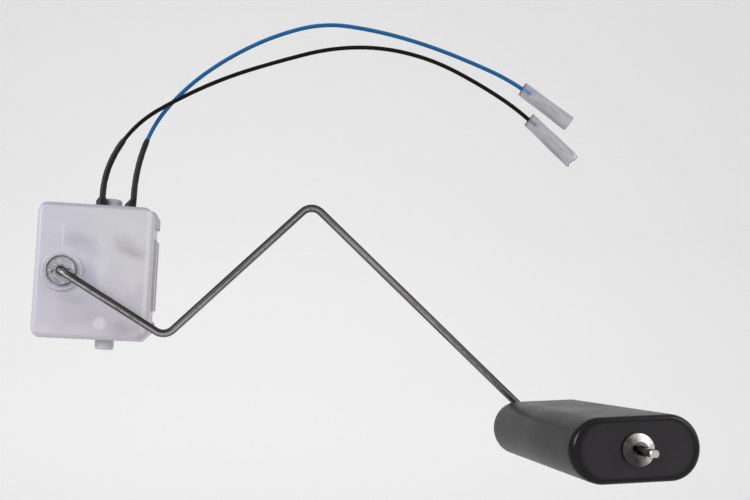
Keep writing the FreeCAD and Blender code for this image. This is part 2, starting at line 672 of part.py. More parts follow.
def make_track(name, radius, width, terminal, bar_top, bar_end):
    """A printed arc about the pivot. A bar and a lead join it to its terminal's solder pad."""
    body = new_body(name)
    band = sketch_on(body, "band", "XY")
    turned = FreeCAD.Rotation(FreeCAD.Vector(0, -1, 0), TRACK_START.value)
    band.AttachmentOffset = FreeCAD.Placement(FreeCAD.Vector(), turned)
    band.setExpression("AttachmentOffset.Rotation.Angle", TRACK_START.text)
    draw_rectangle(band, radius - width / 2, radius + width / 2, -INK_FACE, -CARD_FACE)
    revolve(body, "band", band, TRACK_START + TRACK_END)
    left = terminal - size.terminal_width / 2
    right = terminal + size.terminal_width / 2
    bar_bottom = bar_top - size.lead_width
    foot = size.terminal_foot
    for piece, area in (
        ("bar", (left + size.lead_width / 2, bar_end, bar_bottom, bar_top)),
        ("lead", (left, left + size.lead_width, bar_bottom, foot + size.lead_width)),
        ("solder_pad", (left, right, foot, foot + size.pad_height)),
    ):
        printed = sketch_on(body, piece, "XZ", CARD_FACE)
        draw_rectangle(printed, *area)
        pad(body, piece, printed, size.ink_thickness)
    return body


def make_collector_track():
    """The inner track, which the short finger rides. Its bar runs under the upper post."""
    bar_top = size.upper_post - POST_RADIUS - size.collector_lead_drop
    bar_end = side_of(size.collector_radius, bar_top - size.lead_width / 2)
    radius, width = size.collector_radius, size.collector_width
    return make_track("collector_track", radius, width, size.terminal_signal, bar_top, bar_end)


def make_resistor_track():
    """The outer, dark track, which the long finger rides."""
    bar_top = RESISTOR_RADIUS * sine(TRACK_START)
    bar_end = RESISTOR_RADIUS * cosine(TRACK_START)
    radius, width = RESISTOR_RADIUS, size.resistor_width
    return make_track("resistor_track", radius, width, size.terminal_ground, bar_top, bar_end)


def make_terminal(name, middle, tag):
    """A strip that lies on its pad, steps forward to the parting line and leaves through the top."""
    body = new_body(name)
    profile = sketch_on(body, "profile", "YZ", middle - size.terminal_width / 2)
    sheet_thickness = size.terminal_thickness
    foot_back = INK_FACE
    foot_face = INK_FACE + sheet_thickness
    blade_back = size.rear_depth
    blade_face = size.rear_depth + sheet_thickness
    step, foot, top = size.terminal_step, size.terminal_foot, size.case_top + size.terminal_reach
    inner = ((-foot_back, foot), (-foot_back, step), (-blade_back, step), (-blade_back, top))
    outer = ((-blade_face, top), (-blade_face, step - sheet_thickness))
    under = ((-foot_face, step - sheet_thickness), (-foot_face, foot))
    draw_polygon(profile, inner + outer + under)
    pad(body, "strip", profile, size.terminal_width)
    shoulder = size.case_top + size.tag_shoulder
    narrow = shoulder + size.tag_taper
    beyond = top + sheet_thickness
    half = size.terminal_width / 2
    waste = sketch_on(body, "waste", "XZ", blade_face)
    for side in (-1, 1):
        outside = middle + side * (half + sheet_thickness)
        edge = tag + side * size.tag_width / 2
        corners = ((middle + side * half, shoulder), (edge, narrow), (edge, beyond))
        draw_polygon(waste, corners + ((outside, beyond), (outside, shoulder)))
    pocket(body, "waste", waste)
    return body


def make_rotor():
    """The moulded rotor: a hub that is keyed to the rod's flat, and a tapered wiper lever."""
    body = new_body("rotor")
    hub = sketch_on(body, "hub", "XZ", HUB_BACK)
    draw_circle(hub, 0, 0, size.hub_width)
    pad(body, "hub", hub, HUB_LENGTH)
    lever = sketch_on(body, "lever", "XZ", size.lever_back)
    root, tip = size.lever_root / 2, size.lever_tip / 2
    reach = size.lever_reach
    draw_polygon(lever, ((0, -root), (reach, -tip), (reach, tip), (0, root)))
    pad(body, "lever", lever, size.lever_thickness)
    tip_edges = edges_at(body, x=reach, z=tip) + edges_at(body, x=reach, z=-tip)
    dress(body, "Fillet", "tip_round", size.lever_tip * 0.4, tip_edges)
    bore_width = size.rod_diameter + 2 * size.rotor_bore_clearance
    bore = sketch_on(body, "bore", "XZ", HUB_BACK)
    draw_circle(bore, 0, 0, bore_width)
    pocket(body, "bore", bore)
    key = sketch_on(body, "key", "XZ", HUB_BACK)
    flat = size.rod_flat + size.rotor_bore_clearance
    draw_rectangle(key, flat, bore_width / 2 + size.lip_thickness, -bore_width / 2, bore_width / 2)
    pad(body, "key", key, HUB_LENGTH)
    spring_back = size.lever_back - size.spring_thickness
    studs = sketch_on(body, "studs", "XZ", spring_back)
    heads = sketch_on(body, "heads", "XZ", spring_back - size.stud_head_height)
    for along in (size.stud_place, size.stud_place + size.stud_pitch):
        draw_circle(studs, along, 0, size.stud_width)
        draw_circle(heads, along, 0, size.stud_head)
    pad(body, "studs", studs, size.spring_thickness)
    pad(body, "heads", heads, size.stud_head_height)
    place_body(body, 0, 0, LEVER_DROP, turns_up=False)
    return body


def finger_places():
    """Each finger's track radius and the side of the lever that it runs on."""
    lane = (size.finger_split + size.finger_width) / 2
    return (("short", size.collector_radius, lane), ("long", RESISTOR_RADIUS, -lane))


def make_wiper_spring():
    """A sheet spring staked under the lever, with one finger bent down to each track."""
    body = new_body("wiper_spring")
    back = size.lever_back - size.spring_thickness
    plate = sketch_on(body, "plate", "XZ", back)
    half = size.spring_width / 2
    draw_rectangle(plate, size.spring_start, size.spring_fork, -half, half)
    pad(body, "plate", plate, size.spring_thickness)
    holes = sketch_on(body, "holes", "XZ", size.lever_back)
    for along in (size.stud_place, size.stud_place + size.stud_pitch):
        draw_circle(holes, along, 0, size.stud_width + 2 * size.rotor_bore_clearance)
    pocket(body, "holes", holes)
    low = INK_FACE + size.contact_clearance + size.contact_height
    sheet_thickness = size.spring_thickness
    for name, radius, lane in finger_places():
        start = size.spring_fork - size.finger_split
        toe, heel = radius + size.finger_tip / 2, radius - size.finger_tip / 2
        profile = sketch_on(body, f"{name}_finger", "XY", lane - size.finger_width / 2)
        near_side = ((start, -back), (size.spring_fork, -back), (heel, -low), (toe, -low))
        far_side = ((toe, -low - sheet_thickness), (heel, -low - sheet_thickness))
        root = ((size.spring_fork, -size.lever_back), (start, -size.lever_back))
        draw_polygon(profile, near_side + far_side + root)
        pad(body, f"{name}_finger", profile, size.finger_width)
    place_body(body, 0, 0, LEVER_DROP, turns_up=False)
    return body


def make_contact(name, radius, lane):
    """A small domed contact under one finger's tip."""
    body = new_body(name)
    low = INK_FACE + size.contact_clearance
    dot = sketch_on(body, "dot", "XZ", low)
    draw_circle(dot, radius, lane, size.contact_width)
    pad(body, "dot", dot, size.contact_height)
    dress(body, "Fillet", "dome", size.contact_height / 2, edges_at(body, y=-low))
    place_body(body, 0, 0, LEVER_DROP, turns_up=False)
    return body


def make_float():
    """The closed-cell float: a stadium section with a through bore, free to turn on the rod."""
    body = new_body("float")
    section = sketch_on(body, "section", "XZ", FLOAT_BACK)
    draw_stadium(section, size.float_width, size.float_height)
    pad(body, "block", section, size.float_length)
    ends = edges_at(body, y=-FLOAT_BACK) + edges_at(body, y=-FLOAT_FRONT)
    dress(body, "Fillet", "end_rounds", size.float_round, ends)
    bore = sketch_on(body, "bore", "XZ", FLOAT_BACK)
    draw_circle(bore, 0, 0, size.rod_diameter + 2 * size.float_clearance)
    pocket(body, "bore", bore)
    place_body(body, size.float_across, -size.float_down, size.float_tilt)
    return body


def make_pivot_retainer():
    """Push nut at the pivot: a sheet disc with a turned rim and a raised, slotted centre."""
    body = new_body("pivot_retainer")
    profile = sketch_on(body, "profile", "XY")
    bore = size.rod_diameter / 2 + size.nut_clearance
    edge = size.pivot_nut_width / 2
    back = -PIVOT_NUT_BACK
    face = back - size.nut_sheet
    crest = back - size.pivot_nut_rim
    inner = ((bore, back), (edge, back), (edge, crest), (edge - size.nut_sheet, crest))
    draw_polygon(profile, inner + ((edge - size.nut_sheet, face), (bore, face)))
    revolve(body, "dish", profile)
    cup_face = PIVOT_NUT_BACK + size.nut_sheet
    cup = sketch_on(body, "cup", "XZ", cup_face)
    draw_circle(cup, 0, 0, size.pivot_nut_cup_width)
    pad(body, "cup", cup, size.pivot_nut_cup_height)
    cup_top = cup_face + size.pivot_nut_cup_height
    dress(body, "Fillet", "cup_round", size.pivot_nut_cup_height * 0.6, edges_at(body, y=-cup_top))
    rim = edges_at(body, y=crest)
    dress(body, "Fillet", "rim_round", size.nut_sheet * 0.45, rim)
    slots = sketch_on(body, "slots", "XZ", cup_top)
    draw_stadium(slots, size.pivot_slot_length, size.pivot_slot_width)
    pocket(body, "slots", slots)
    bore_sketch = sketch_on(body, "bore", "XZ", cup_top)
    draw_circle(bore_sketch, 0, 0, size.rod_diameter + 2 * size.nut_clearance)
    pocket(body, "bore", bore_sketch)
    place_body(body, 0, 0, size.pivot_slot_tilt)
    return body


def make_float_retainer():
    """Domed push nut on the rod in front of the float."""
    body = new_body("float_retainer")
    edge = size.float_nut_width / 2
    crown = size.float_nut_crown
    back = FLOAT_NUT_BACK
    rim = back + size.float_nut_rim
    top = rim + size.float_nut_dome
    under = top - size.nut_sheet
    shoulder = edge - size.nut_sheet
    profile = sketch_on(body, "profile", "XY")
    outside = ((edge, -back), (edge, -rim), (crown, -top), (0, -top))
    inside = ((0, -under), (crown - size.nut_sheet / 2, -under), (shoulder, -rim), (shoulder, -back))
    draw_polygon(profile, outside + inside)
    revolve(body, "cap", profile)
    dress(body, "Fillet", "crown_round", size.float_nut_dome, edges_at(body, y=-top))
    slots = sketch_on(body, "slots", "XZ", top)
    draw_stadium(slots, size.prong_slot_length, size.prong_slot_width)
    pocket(body, "slots", slots)
    bore = sketch_on(body, "bore", "XZ", top)
    draw_circle(bore, 0, 0, size.rod_diameter + 2 * size.nut_clearance)
    pocket(body, "bore", bore)
    place_body(body, size.float_across, -size.float_down, size.prong_slot_tilt, turns_up=False)
    return body


def rounded_path(points, radii):
    """Edges of a path of straight runs joined by tangent arcs of the given radii."""
    edges = []
    start = points[0]
    for before, corner, after, radius in zip(points, points[1:], points[2:], radii):
        inward = (before - corner).normalize()
        outward = (after - corner).normalize()
        turn = math.pi - inward.getAngle(outward)
        tangent = radius * math.tan(turn / 2)
        first = corner + inward * tangent
        last = corner + outward * tangent
        middle = (inward + outward).normalize()
        crest = corner + middle * (radius / math.cos(turn / 2) - radius)
        edges.append(Part.LineSegment(start, first).toShape())
        edges.append(Part.Arc(first, crest, last).toShape())
        start = last
    edges.append(Part.LineSegment(start, points[-1]).toShape())
    return edges


def sweep(edges, radius):
    """A round solid along joined edges."""
    start = edges[0].valueAt(edges[0].FirstParameter)
    heading = edges[0].tangentAt(edges[0].FirstParameter)
    ring = Part.Wire(Part.Circle(start, heading, radius).toShape())
    return Part.Wire(edges).makePipeShell([ring], True, False)


def add_shape(name, shape):
    """A node whose shape is set whole."""
    made = doc.addObject("Part::Feature", name)
    made.Label = name
    made.Shape = shape
    made.Placement = FreeCAD.Placement()
    return made


def box_between(low, high):
    """A block from its lowest to its highest corner."""
    span = high - low
    return Part.makeBox(span.x, span.y, span.z, low)


def make_float_arm():
    """The steel rod: from its bearings out along -Y, down, up and down again, then -Y through the float."""
    plane = -size.arm_plane
    axis = (size.float_across, -size.float_down)
    tip = FLOAT_NUT_FACE + size.tail_length
    points = [
        vector(0, -size.rod_end, 0),
        vector(0, plane, 0),
        vector(size.elbow_across, plane, -size.elbow_down),
        vector(size.knee_across, plane, size.knee_up),
        vector(axis[0], plane, axis[1]),
        vector(axis[0], -tip, axis[1]),
    ]
    bends = [size.end_bend, size.arm_bend, size.arm_bend, size.end_bend]
    rod = sweep(rounded_path(points, [bend.value for bend in bends]), size.rod_diameter.value / 2)
    end_places = (points[0].y, points[-1].y)
    flat = [edge for edge in rod.Edges if edge.Closed and edge.BoundBox.YLength < NEAR]
    rims = [edge for edge in flat if min(abs(edge.BoundBox.YMin - at) for at in end_places) < NEAR]
    rod = rod.makeChamfer(size.rod_chamfer.value, rims)
    wide = size.rod_diameter.value
    key_low = FreeCAD.Vector(size.rod_flat.value, -(HUB_BACK + HUB_LENGTH).value, -wide)
    key = box_between(key_low, FreeCAD.Vector(wide, -HUB_BACK.value, wide))
    key.rotate(FreeCAD.Vector(), FreeCAD.Vector(0, 1, 0), LEVER_DROP.value)
    rod = rod.cut(key)
    half = size.tail_flat_thickness.value / 2
    tail = points[-1]
    pinched = size.tail_flat_length.value
    for low, high in ((half, wide), (-wide, -half)):
        corner = tail + FreeCAD.Vector(-wide, -wide, low)
        rod = rod.cut(box_between(corner, tail + FreeCAD.Vector(wide, pinched, high)))
    return add_shape("float_arm", rod)


def cord_path(name, route):
    """A lead wire's path: each arc is as large as its two runs allow."""
    points = [FreeCAD.Vector(*point) for point in route]
    radii = []
    for before, corner, after in zip(points, points[1:], points[2:]):
        turn = math.pi - (before - corner).getAngle(after - corner)
        shorter = min((before - corner).Length, (after - corner).Length)
        radii.append(CORD_ARC_SHARE * shorter / math.tan(turn / 2))
    print(name, "arc radii:", " ".join(f"{radius:.1f}" for radius in radii))
    return rounded_path(points, radii)


def first_stretch(edges, length):
    """The edges that cover the first length of a path."""
    kept = []
    for edge in edges:
        if edge.Length >= length:
            end = edge.getParameterByLength(length)
            kept.append(Part.Edge(edge.Curve, edge.FirstParameter, end))
            return kept
        kept.append(edge)
        length -= edge.Length
    return kept


def flare(foot, start, collar, rise, grow):
    """The heat-shrink's foot: an oval collar round the blade that narrows to a circle round the wire."""
    wire_radius = (size.wire_diameter / 2 + size.shrink_clearance).value + grow
    wide = size.flare_inner_width.value / 2
    deep = size.flare_inner_depth.value / 2
    sections = []
    for height, waist in ((0, 0), (collar.value, 0), (rise.value, 1), (start.z - foot.z, 1)):
        middle = FreeCAD.Vector(foot.x + (start.x - foot.x) * waist, start.y, foot.z + height)
        across = wide + (wire_radius - grow - wide) * waist + grow
        depth = deep + (wire_radius - grow - deep) * waist + grow
        if across - depth < NEAR:
            sections.append(Part.Wire(Part.Circle(middle, FreeCAD.Vector(0, 0, 1), across).toShape()))
        else:
            ends = (FreeCAD.Vector(across, 0, 0), FreeCAD.Vector(0, depth, 0))
            oval = Part.Ellipse(middle + ends[0], middle + ends[1], middle)
            sections.append(Part.Wire(oval.toShape()))
    return Part.makeLoft(sections, True, True)


def make_lead(colour, route, terminal, collar, rise, notched):
    """One lead: its wire, heat-shrink, crimped receptacle and insulating sleeve."""
    path = cord_path(colour, route)
    radius = size.wire_diameter.value / 2
    wire = sweep(path, radius)
    expected = math.pi * radius**2 * sum(edge.Length for edge in path)
    print(f"{colour} wire: {sum(e.Length for e in path):.1f} mm, volume {wire.Volume:.2f} of {expected:.2f}")
    add_shape(f"{colour}_wire", wire)
    start = FreeCAD.Vector(*route[0])
    foot = FreeCAD.Vector(terminal.value, start.y, (size.case_top + size.flare_gap).value)
    covered = first_stretch(path, size.shrink_length.value)
    bore_radius = (size.wire_diameter / 2 + size.shrink_clearance).value
    outside = sweep(covered, bore_radius + size.shrink_wall.value)
    outside = outside.fuse(flare(foot, start, collar, rise, size.flare_wall.value))
    inside = sweep(covered, bore_radius).fuse(flare(foot, start, collar, rise, 0))
    shrink = outside.cut(inside).removeSplitter()
    add_shape(f"{colour}_heatshrink", shrink.Solids[0] if len(shrink.Solids) == 1 else shrink)
    end = FreeCAD.Vector(*route[-1])
    heading = (end - FreeCAD.Vector(*route[-2])).normalize()
    origin = end - heading * size.wire_in_sleeve.value
    drop = math.degrees(math.atan2(-heading.z, heading.x))
    place = FreeCAD.Placement(origin, FreeCAD.Rotation(FreeCAD.Vector(0, 1, 0), drop))
    make_receptacle(f"{colour}_receptacle").Placement = place
    make_sleeve(f"{colour}_sleeve", notched).Placement = place


def make_receptacle(name):
    """A female blade terminal along +X: crimp barrel, neck strip and a box of rolled edges."""
    body = new_body(name)
    inner = size.wire_diameter + 2 * size.barrel_clearance
    outer = inner + 2 * size.barrel_wall
    ring = sketch_on(body, "ring", "YZ", size.barrel_start)
    draw_circle(ring, 0, 0, outer)
    draw_circle(ring, 0, 0, inner)
    pad(body, "barrel", ring, size.barrel_length)
    neck_start = size.barrel_start + size.barrel_length - size.barrel_wall
    box_start = size.barrel_start + size.barrel_length + size.neck_length
    floor = outer / 2 + size.barrel_clearance
    neck = sketch_on(body, "neck", "YZ", neck_start)
    draw_rectangle(neck, floor - size.barrel_wall, floor, -size.neck_width / 2, size.neck_width / 2)
    pad(body, "neck", neck, box_start - neck_start)
    half = size.box_width / 2
    wall = size.barrel_wall
    slit = size.box_slit / 2
    box = sketch_on(body, "box", "YZ", box_start - wall)
    outside = ((floor, -half), (floor, half), (-floor, half), (-floor, slit))
    upper = ((wall - floor, slit), (wall - floor, half - wall), (floor - wall, half - wall))
    lower = ((floor - wall, wall - half), (wall - floor, wall - half), (wall - floor, -slit))
    draw_polygon(box, outside + upper + lower + ((-floor, -slit), (-floor, -half)))
    pad(body, "box", box, size.box_length)
    return body


def make_sleeve(name, notched):
    """A soft oval sleeve that widens towards its mouth."""
    body = new_body(name)
    wall = 2 * size.sleeve_wall
    for kind, less in (("AdditiveLoft", 0), ("SubtractiveLoft", wall)):
        start = sketch_on(body, f"{kind}_start", "YZ")
        draw_stadium(start, size.sleeve_start_width - less, size.sleeve_start_height - less, upright=True)
        mouth = sketch_on(body, f"{kind}_mouth", "YZ", size.sleeve_length)
        draw_stadium(mouth, size.sleeve_mouth_width - less, size.sleeve_mouth_height - less, upright=True)
        loft = body.newObject(f"PartDesign::{kind}", f"{name}_{kind}")
        loft.Profile = start
        loft.Sections = [mouth]
    if notched:
        notch = sketch_on(body, "notch", "XZ")
        length, half = size.sleeve_length, size.sleeve_mouth_width / 2
        back = length - size.sleeve_notch
        draw_polygon(notch, ((back, -half * 0.5), (length + 1, -half * 0.8), (length + 1, half * 0.1)))
        pocket(body, "notch", notch, size.sleeve_mouth_height)
    return body


make_front_cover()
make_rear_cover()
make_resistor_card()
make_collector_track()
make_resistor_track()
make_terminal("signal_terminal", size.terminal_signal, dim(BLACK_ROUTE[0][0]))
make_terminal("ground_terminal", size.terminal_ground, dim(BLUE_ROUTE[0][0]))
make_rotor()
make_wiper_spring()
for finger, radius, lane in finger_places():
    make_contact(f"{finger}_finger_contact", radius, lane)
make_float_arm()
make_pivot_retainer()
make_float()
make_float_retainer()
make_lead("blue", BLUE_ROUTE, size.terminal_ground, size.ground_collar, size.ground_flare, notched=False)
make_lead("black", BLACK_ROUTE, size.terminal_signal, size.signal_collar, size.signal_flare, notched=True)
doc.recompute()

faults = [item.Label for item in doc.Objects if {"Invalid", "Error"} & set(item.State)]
nodes = [item for item in doc.Objects if item.TypeId in ("PartDesign::Body", "Part::Feature")]
nodes = [item for item in nodes if item.getParentGeoFeatureGroup() is None]
faults += [item.Label for item in nodes if item.Shape.isNull() or not item.Shape.isValid()]
if faults:
    raise RuntimeError(f"these failed: {', '.join(faults)}")
os.makedirs("parts", exist_ok=True)
for item in nodes:
    item.Shape.exportStep(f"parts/{item.Label}.step")
    print(f"{item.Label}: {len(item.Shape.Solids)} solid, {item.Shape.Volume:.2f} mm3")
upper_lean = angle_across(POST_RADIUS + size.stop_clearance + LEVER_SIDE, UPPER_POST_REACH)
swing = LEVER_DROP + UPPER_POST_ANGLE + LEVER_TAPER - upper_lean
print(f"lever at rest {LEVER_DROP.value:.2f} degrees below X, swing to the upper post {swing.value:.2f}")
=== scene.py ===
"""Level sensor with its foam float, bent steel arm, milky plastic case and two stiff leads."""

import bpy
import numpy as np
from mathutils import Matrix, Vector


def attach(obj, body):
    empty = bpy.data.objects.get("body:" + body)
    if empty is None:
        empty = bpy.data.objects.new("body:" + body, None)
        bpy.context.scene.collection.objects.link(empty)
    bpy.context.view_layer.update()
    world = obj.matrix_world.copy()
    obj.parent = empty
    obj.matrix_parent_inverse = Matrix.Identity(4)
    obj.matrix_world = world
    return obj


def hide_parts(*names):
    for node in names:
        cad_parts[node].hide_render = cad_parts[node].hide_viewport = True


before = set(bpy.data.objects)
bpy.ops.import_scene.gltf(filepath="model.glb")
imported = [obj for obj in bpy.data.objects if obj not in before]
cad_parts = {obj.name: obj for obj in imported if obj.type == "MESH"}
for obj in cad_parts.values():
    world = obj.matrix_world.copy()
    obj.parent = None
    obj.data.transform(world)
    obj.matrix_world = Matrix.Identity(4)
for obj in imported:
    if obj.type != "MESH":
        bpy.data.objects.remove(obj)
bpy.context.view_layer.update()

MM = 0.001
PHOTO_WIDTH, PHOTO_HEIGHT = 750, 500
LENS_PIXELS = 770.0
AIM_ACROSS, AIM_DOWN = 300.0, 302.0
SENSOR = 36.0

CASE_TOP = 23.1 * MM
CASE_FACE = -12.5 * MM
FLOAT_CENTRE = np.array([161.3, -43.9]) * MM
FLOAT_BACK, FLOAT_FRONT = -22.0 * MM, -82.0 * MM
FLOAT_TILT = np.radians(4.8)
ROD_BENDS = np.array([(0.0, 0.0), (35.3, -20.3), (81.2, 26.5), (161.3, -43.9)]) * MM
ROD_BEND_RADIUS = 4.5 * MM
WIRE_DIAMETER = 1.4 * MM
SHRINK_RISE, SHRINK_LENGTH = 3.3 * MM, 20.4 * MM
SLEEVE_LENGTH, WIRE_IN_SLEEVE = 20.9 * MM, 5.0 * MM
MIX_FIRST, MIX_SECOND, MIX_RESULT = 6, 7, 2

BLUE_ROUTE = np.array([
    (21.2, -8.2, 27.0), (21.2, -8.2, 35.9), (26.4, -8.2, 53.0), (37.6, -8.2, 67.2),
    (51.4, -8.2, 78.4), (66.8, -8.0, 87.3), (83.7, -7.8, 93.2), (101.6, -7.6, 92.1),
    (119.1, -7.6, 88.7), (136.0, -7.8, 83.5), (152.8, -8.0, 77.1), (160.2, -8.0, 72.0),
]) * MM
BLACK_ROUTE = np.array([
    (10.8, -8.2, 27.0), (10.8, -8.2, 35.9), (20.4, -11.2, 51.4), (35.9, -11.4, 61.9),
    (51.7, -11.2, 70.4), (68.7, -11.0, 77.1), (85.9, -11.0, 83.0), (104.1, -11.0, 84.8),
    (122.2, -11.0, 81.7), (138.7, -11.0, 74.5), (154.6, -11.0, 65.5), (161.4, -11.0, 59.5),
]) * MM


class Value:
    """A number or colour in a material, so that plain arithmetic on it adds Math nodes."""

    def __init__(self, graph, socket):
        self.graph = graph
        self.socket = socket

    def _math(self, operation, first, second=0.0):
        return self.graph.add("Math", {"operation": operation}, {0: first, 1: second})

    def __add__(self, other):
        return self._math("ADD", self, other)

    def __radd__(self, other):
        return self._math("ADD", other, self)

    def __sub__(self, other):
        return self._math("SUBTRACT", self, other)

    def __mul__(self, other):
        return self._math("MULTIPLY", self, other)

    def __pow__(self, other):
        return self._math("POWER", self, other)

    def larger(self, other):
        return self._math("MAXIMUM", self, other)

    def size(self):
        return self._math("ABSOLUTE", self)

    def fade(self, low, high):
        """0 at low and 1 at high, with a smooth step between them."""
        ramp = {"interpolation_type": "SMOOTHSTEP"}
        return self.graph.add("MapRange", ramp, {"Value": self, "From Min": low, "From Max": high})


class Graph:
    """The nodes of one material or of the world, with the surface or background that they feed."""

    def __init__(self, owner, surface):
        owner.use_nodes = True
        self.tree = owner.node_tree
        self.surface = self.tree.nodes[surface]

    def add(self, kind, settings=None, inputs=None, output=0):
        """A node of a kind, with its settings first and then a value or link for each named socket."""
        node = self.tree.nodes.new(f"ShaderNode{kind}")
        for name, setting in (settings or {}).items():
            setattr(node, name, setting)
        for name, value in (inputs or {}).items():
            if isinstance(value, Value):
                self.tree.links.new(value.socket, node.inputs[name])
            else:
                node.inputs[name].default_value = value
        return Value(self, node.outputs[output])

    def feed(self, **links):
        """Links values to the surface's sockets."""
        for name, value in links.items():
            self.tree.links.new(value.socket, self.surface.inputs[name.replace("_", " ")])

    def shown(self):
        """1 for the rays that show a surface and 0 for those that only light others."""
        kinds = ("Is Camera Ray", "Is Glossy Ray", "Is Transmission Ray")
        seen, mirrored, through = (self.add("LightPath", output=kind) for kind in kinds)
        return seen.larger(mirrored).larger(through)


class Finish(Graph):
    """One material with a Principled surface. Its constants go straight onto the surface's sockets."""

    def __init__(self, name, base, roughness, **constants):
        self.material = bpy.data.materials.new(name)
        super().__init__(self.material, "Principled BSDF")
        self.surface.inputs["Base Color"].default_value = (*base, 1.0)
        self.surface.inputs["Roughness"].default_value = roughness
        for socket, constant in constants.items():
            self.surface.inputs[socket.replace("_", " ")].default_value = constant

    def place(self):
        """The point on the piece, in metres, as a vector and as its three numbers."""
        if not hasattr(self, "place_parts"):
            point = self.add("TexCoord", output="Object")
            self.place_parts = [point] + [
                self.add("SeparateXYZ", inputs={0: point}, output=axis) for axis in "XYZ"]
        return self.place_parts

    def kept(self, name):
        """The number that the mesh keeps under a name."""
        return self.add("Attribute", {"attribute_name": name}, output="Fac")

    def grain(self, scale, detail=3.0, roughness=0.5, point=None):
        """Cloudy noise from 0 to 1 at a point, with scale in features a metre."""
        return self.add("TexNoise", inputs={
            "Vector": point or self.place()[0], "Scale": scale, "Detail": detail, "Roughness": roughness})

    def blob(self, centre, reach, tilt=0.0, point=None):
        """1 at the centre, falling smoothly to 0 on an ellipsoid with half axes of reach.

        Its right end is turned down by tilt.
        """
        local = self.add("Mapping", {"vector_type": "TEXTURE"}, {
            "Vector": point or self.place()[0], "Location": centre,
            "Rotation": (0.0, tilt, 0.0), "Scale": reach})
        away = self.add("VectorMath", {"operation": "LENGTH"}, {0: local}, output="Value")
        return away.fade(1.0, 0.0)

    def wobble(self, scale, reach):
        """The point on the piece, pushed about by cloudy noise up to reach metres."""
        point = self.place()[0]
        push = self.add("TexNoise", inputs={"Vector": point, "Scale": scale, "Detail": 3.0}, output="Color")
        centred = self.add("VectorMath", {"operation": "SUBTRACT"}, {0: push, 1: (0.5, 0.5, 0.5)})
        scaled = self.add("VectorMath", {"operation": "SCALE"}, {0: centred, "Scale": 4.0 * reach})
        return self.add("VectorMath", {"operation": "ADD"}, {0: point, 1: scaled})

    def tint(self, base, colour, share):
        """base mixed towards colour by share."""
        inputs = {0: share, MIX_FIRST: self.paint(base), MIX_SECOND: self.paint(colour)}
        return self.add("Mix", {"data_type": "RGBA"}, inputs, output=MIX_RESULT)

    def paint(self, colour):
        """A colour as a socket takes it: a value as it is, three numbers with an alpha of 1."""
        return colour if isinstance(colour, Value) else (*colour, 1.0)

    def relief(self, height, depth, strength):
        """A bump that is depth metres high where height is 1, fed to the surface's Normal."""
        bump = self.add("Bump", inputs={"Height": height, "Distance": depth, "Strength": strength})
        self.feed(Normal=bump)


def make_mesh(name, points, faces):
    """A smooth mesh object at the origin from an array of points and one of faces."""
    mesh = bpy.data.meshes.new(name)
    mesh.from_pydata(points.reshape(-1, 3).tolist(), [], faces.tolist())
    mesh.polygons.foreach_set("use_smooth", np.full(len(mesh.polygons), True))
    mesh.update()
    made = bpy.data.objects.new(name, mesh)
    bpy.context.collection.objects.link(made)
    return made


def keep(made, name, values):
    """Stores one number for each point of a mesh under a name, for its finish to read."""
    layer = made.data.attributes.new(name, "FLOAT", "POINT")
    layer.data.foreach_set("value", np.ascontiguousarray(values, dtype=float).ravel())


def grid_faces(rows, columns, wrap_rows=False, wrap_columns=True):
    """Quads of a grid of rows x columns points. Each quad joins four neighbours, with the wraps closed."""
    row = np.arange(rows if wrap_rows else rows - 1)[:, None]
    column = np.arange(columns if wrap_columns else columns - 1)[None, :]
    next_row, next_column = (row + 1) % rows, (column + 1) % columns
    corners = (
        row * columns + column,
        row * columns + next_column,
        next_row * columns + next_column,
        next_row * columns + column,
    )
    return np.stack(corners, axis=-1).reshape(-1, 4)


def stadium_ring(half_length, half_height, count):
    """Points of two half circles joined by straight sides, evenly spaced along the outline."""
    radius = np.asarray(half_height)
    straight = np.asarray(half_length) - radius
    total = 4 * straight + 2 * np.pi * radius
    run = (np.arange(count) / count)[None, :] * total[:, None]
    straight, radius = straight[:, None], radius[:, None]
    arc = np.pi * radius
    ends = np.cumsum(np.concatenate([straight, arc, 2 * straight, arc], axis=1), axis=1)
    first, second, third, fourth = (ends[:, n:n + 1] for n in range(4))
    right = (run - first) / radius
    left = (run - third) / radius
    x = np.where(run < first, run, straight + radius * np.sin(right))
    z = np.where(run < first, radius, radius * np.cos(right))
    back = (run >= second) & (run < third)
    x = np.where(back, straight - (run - second), x)
    z = np.where(back, -radius, z)
    turn = (run >= third) & (run < fourth)
    x = np.where(turn, -straight - radius * np.sin(left), x)
    z = np.where(turn, -radius * np.cos(left), z)
    home = run >= fourth
    x = np.where(home, -straight + (run - fourth), x)
    z = np.where(home, radius, z)
    return x, z


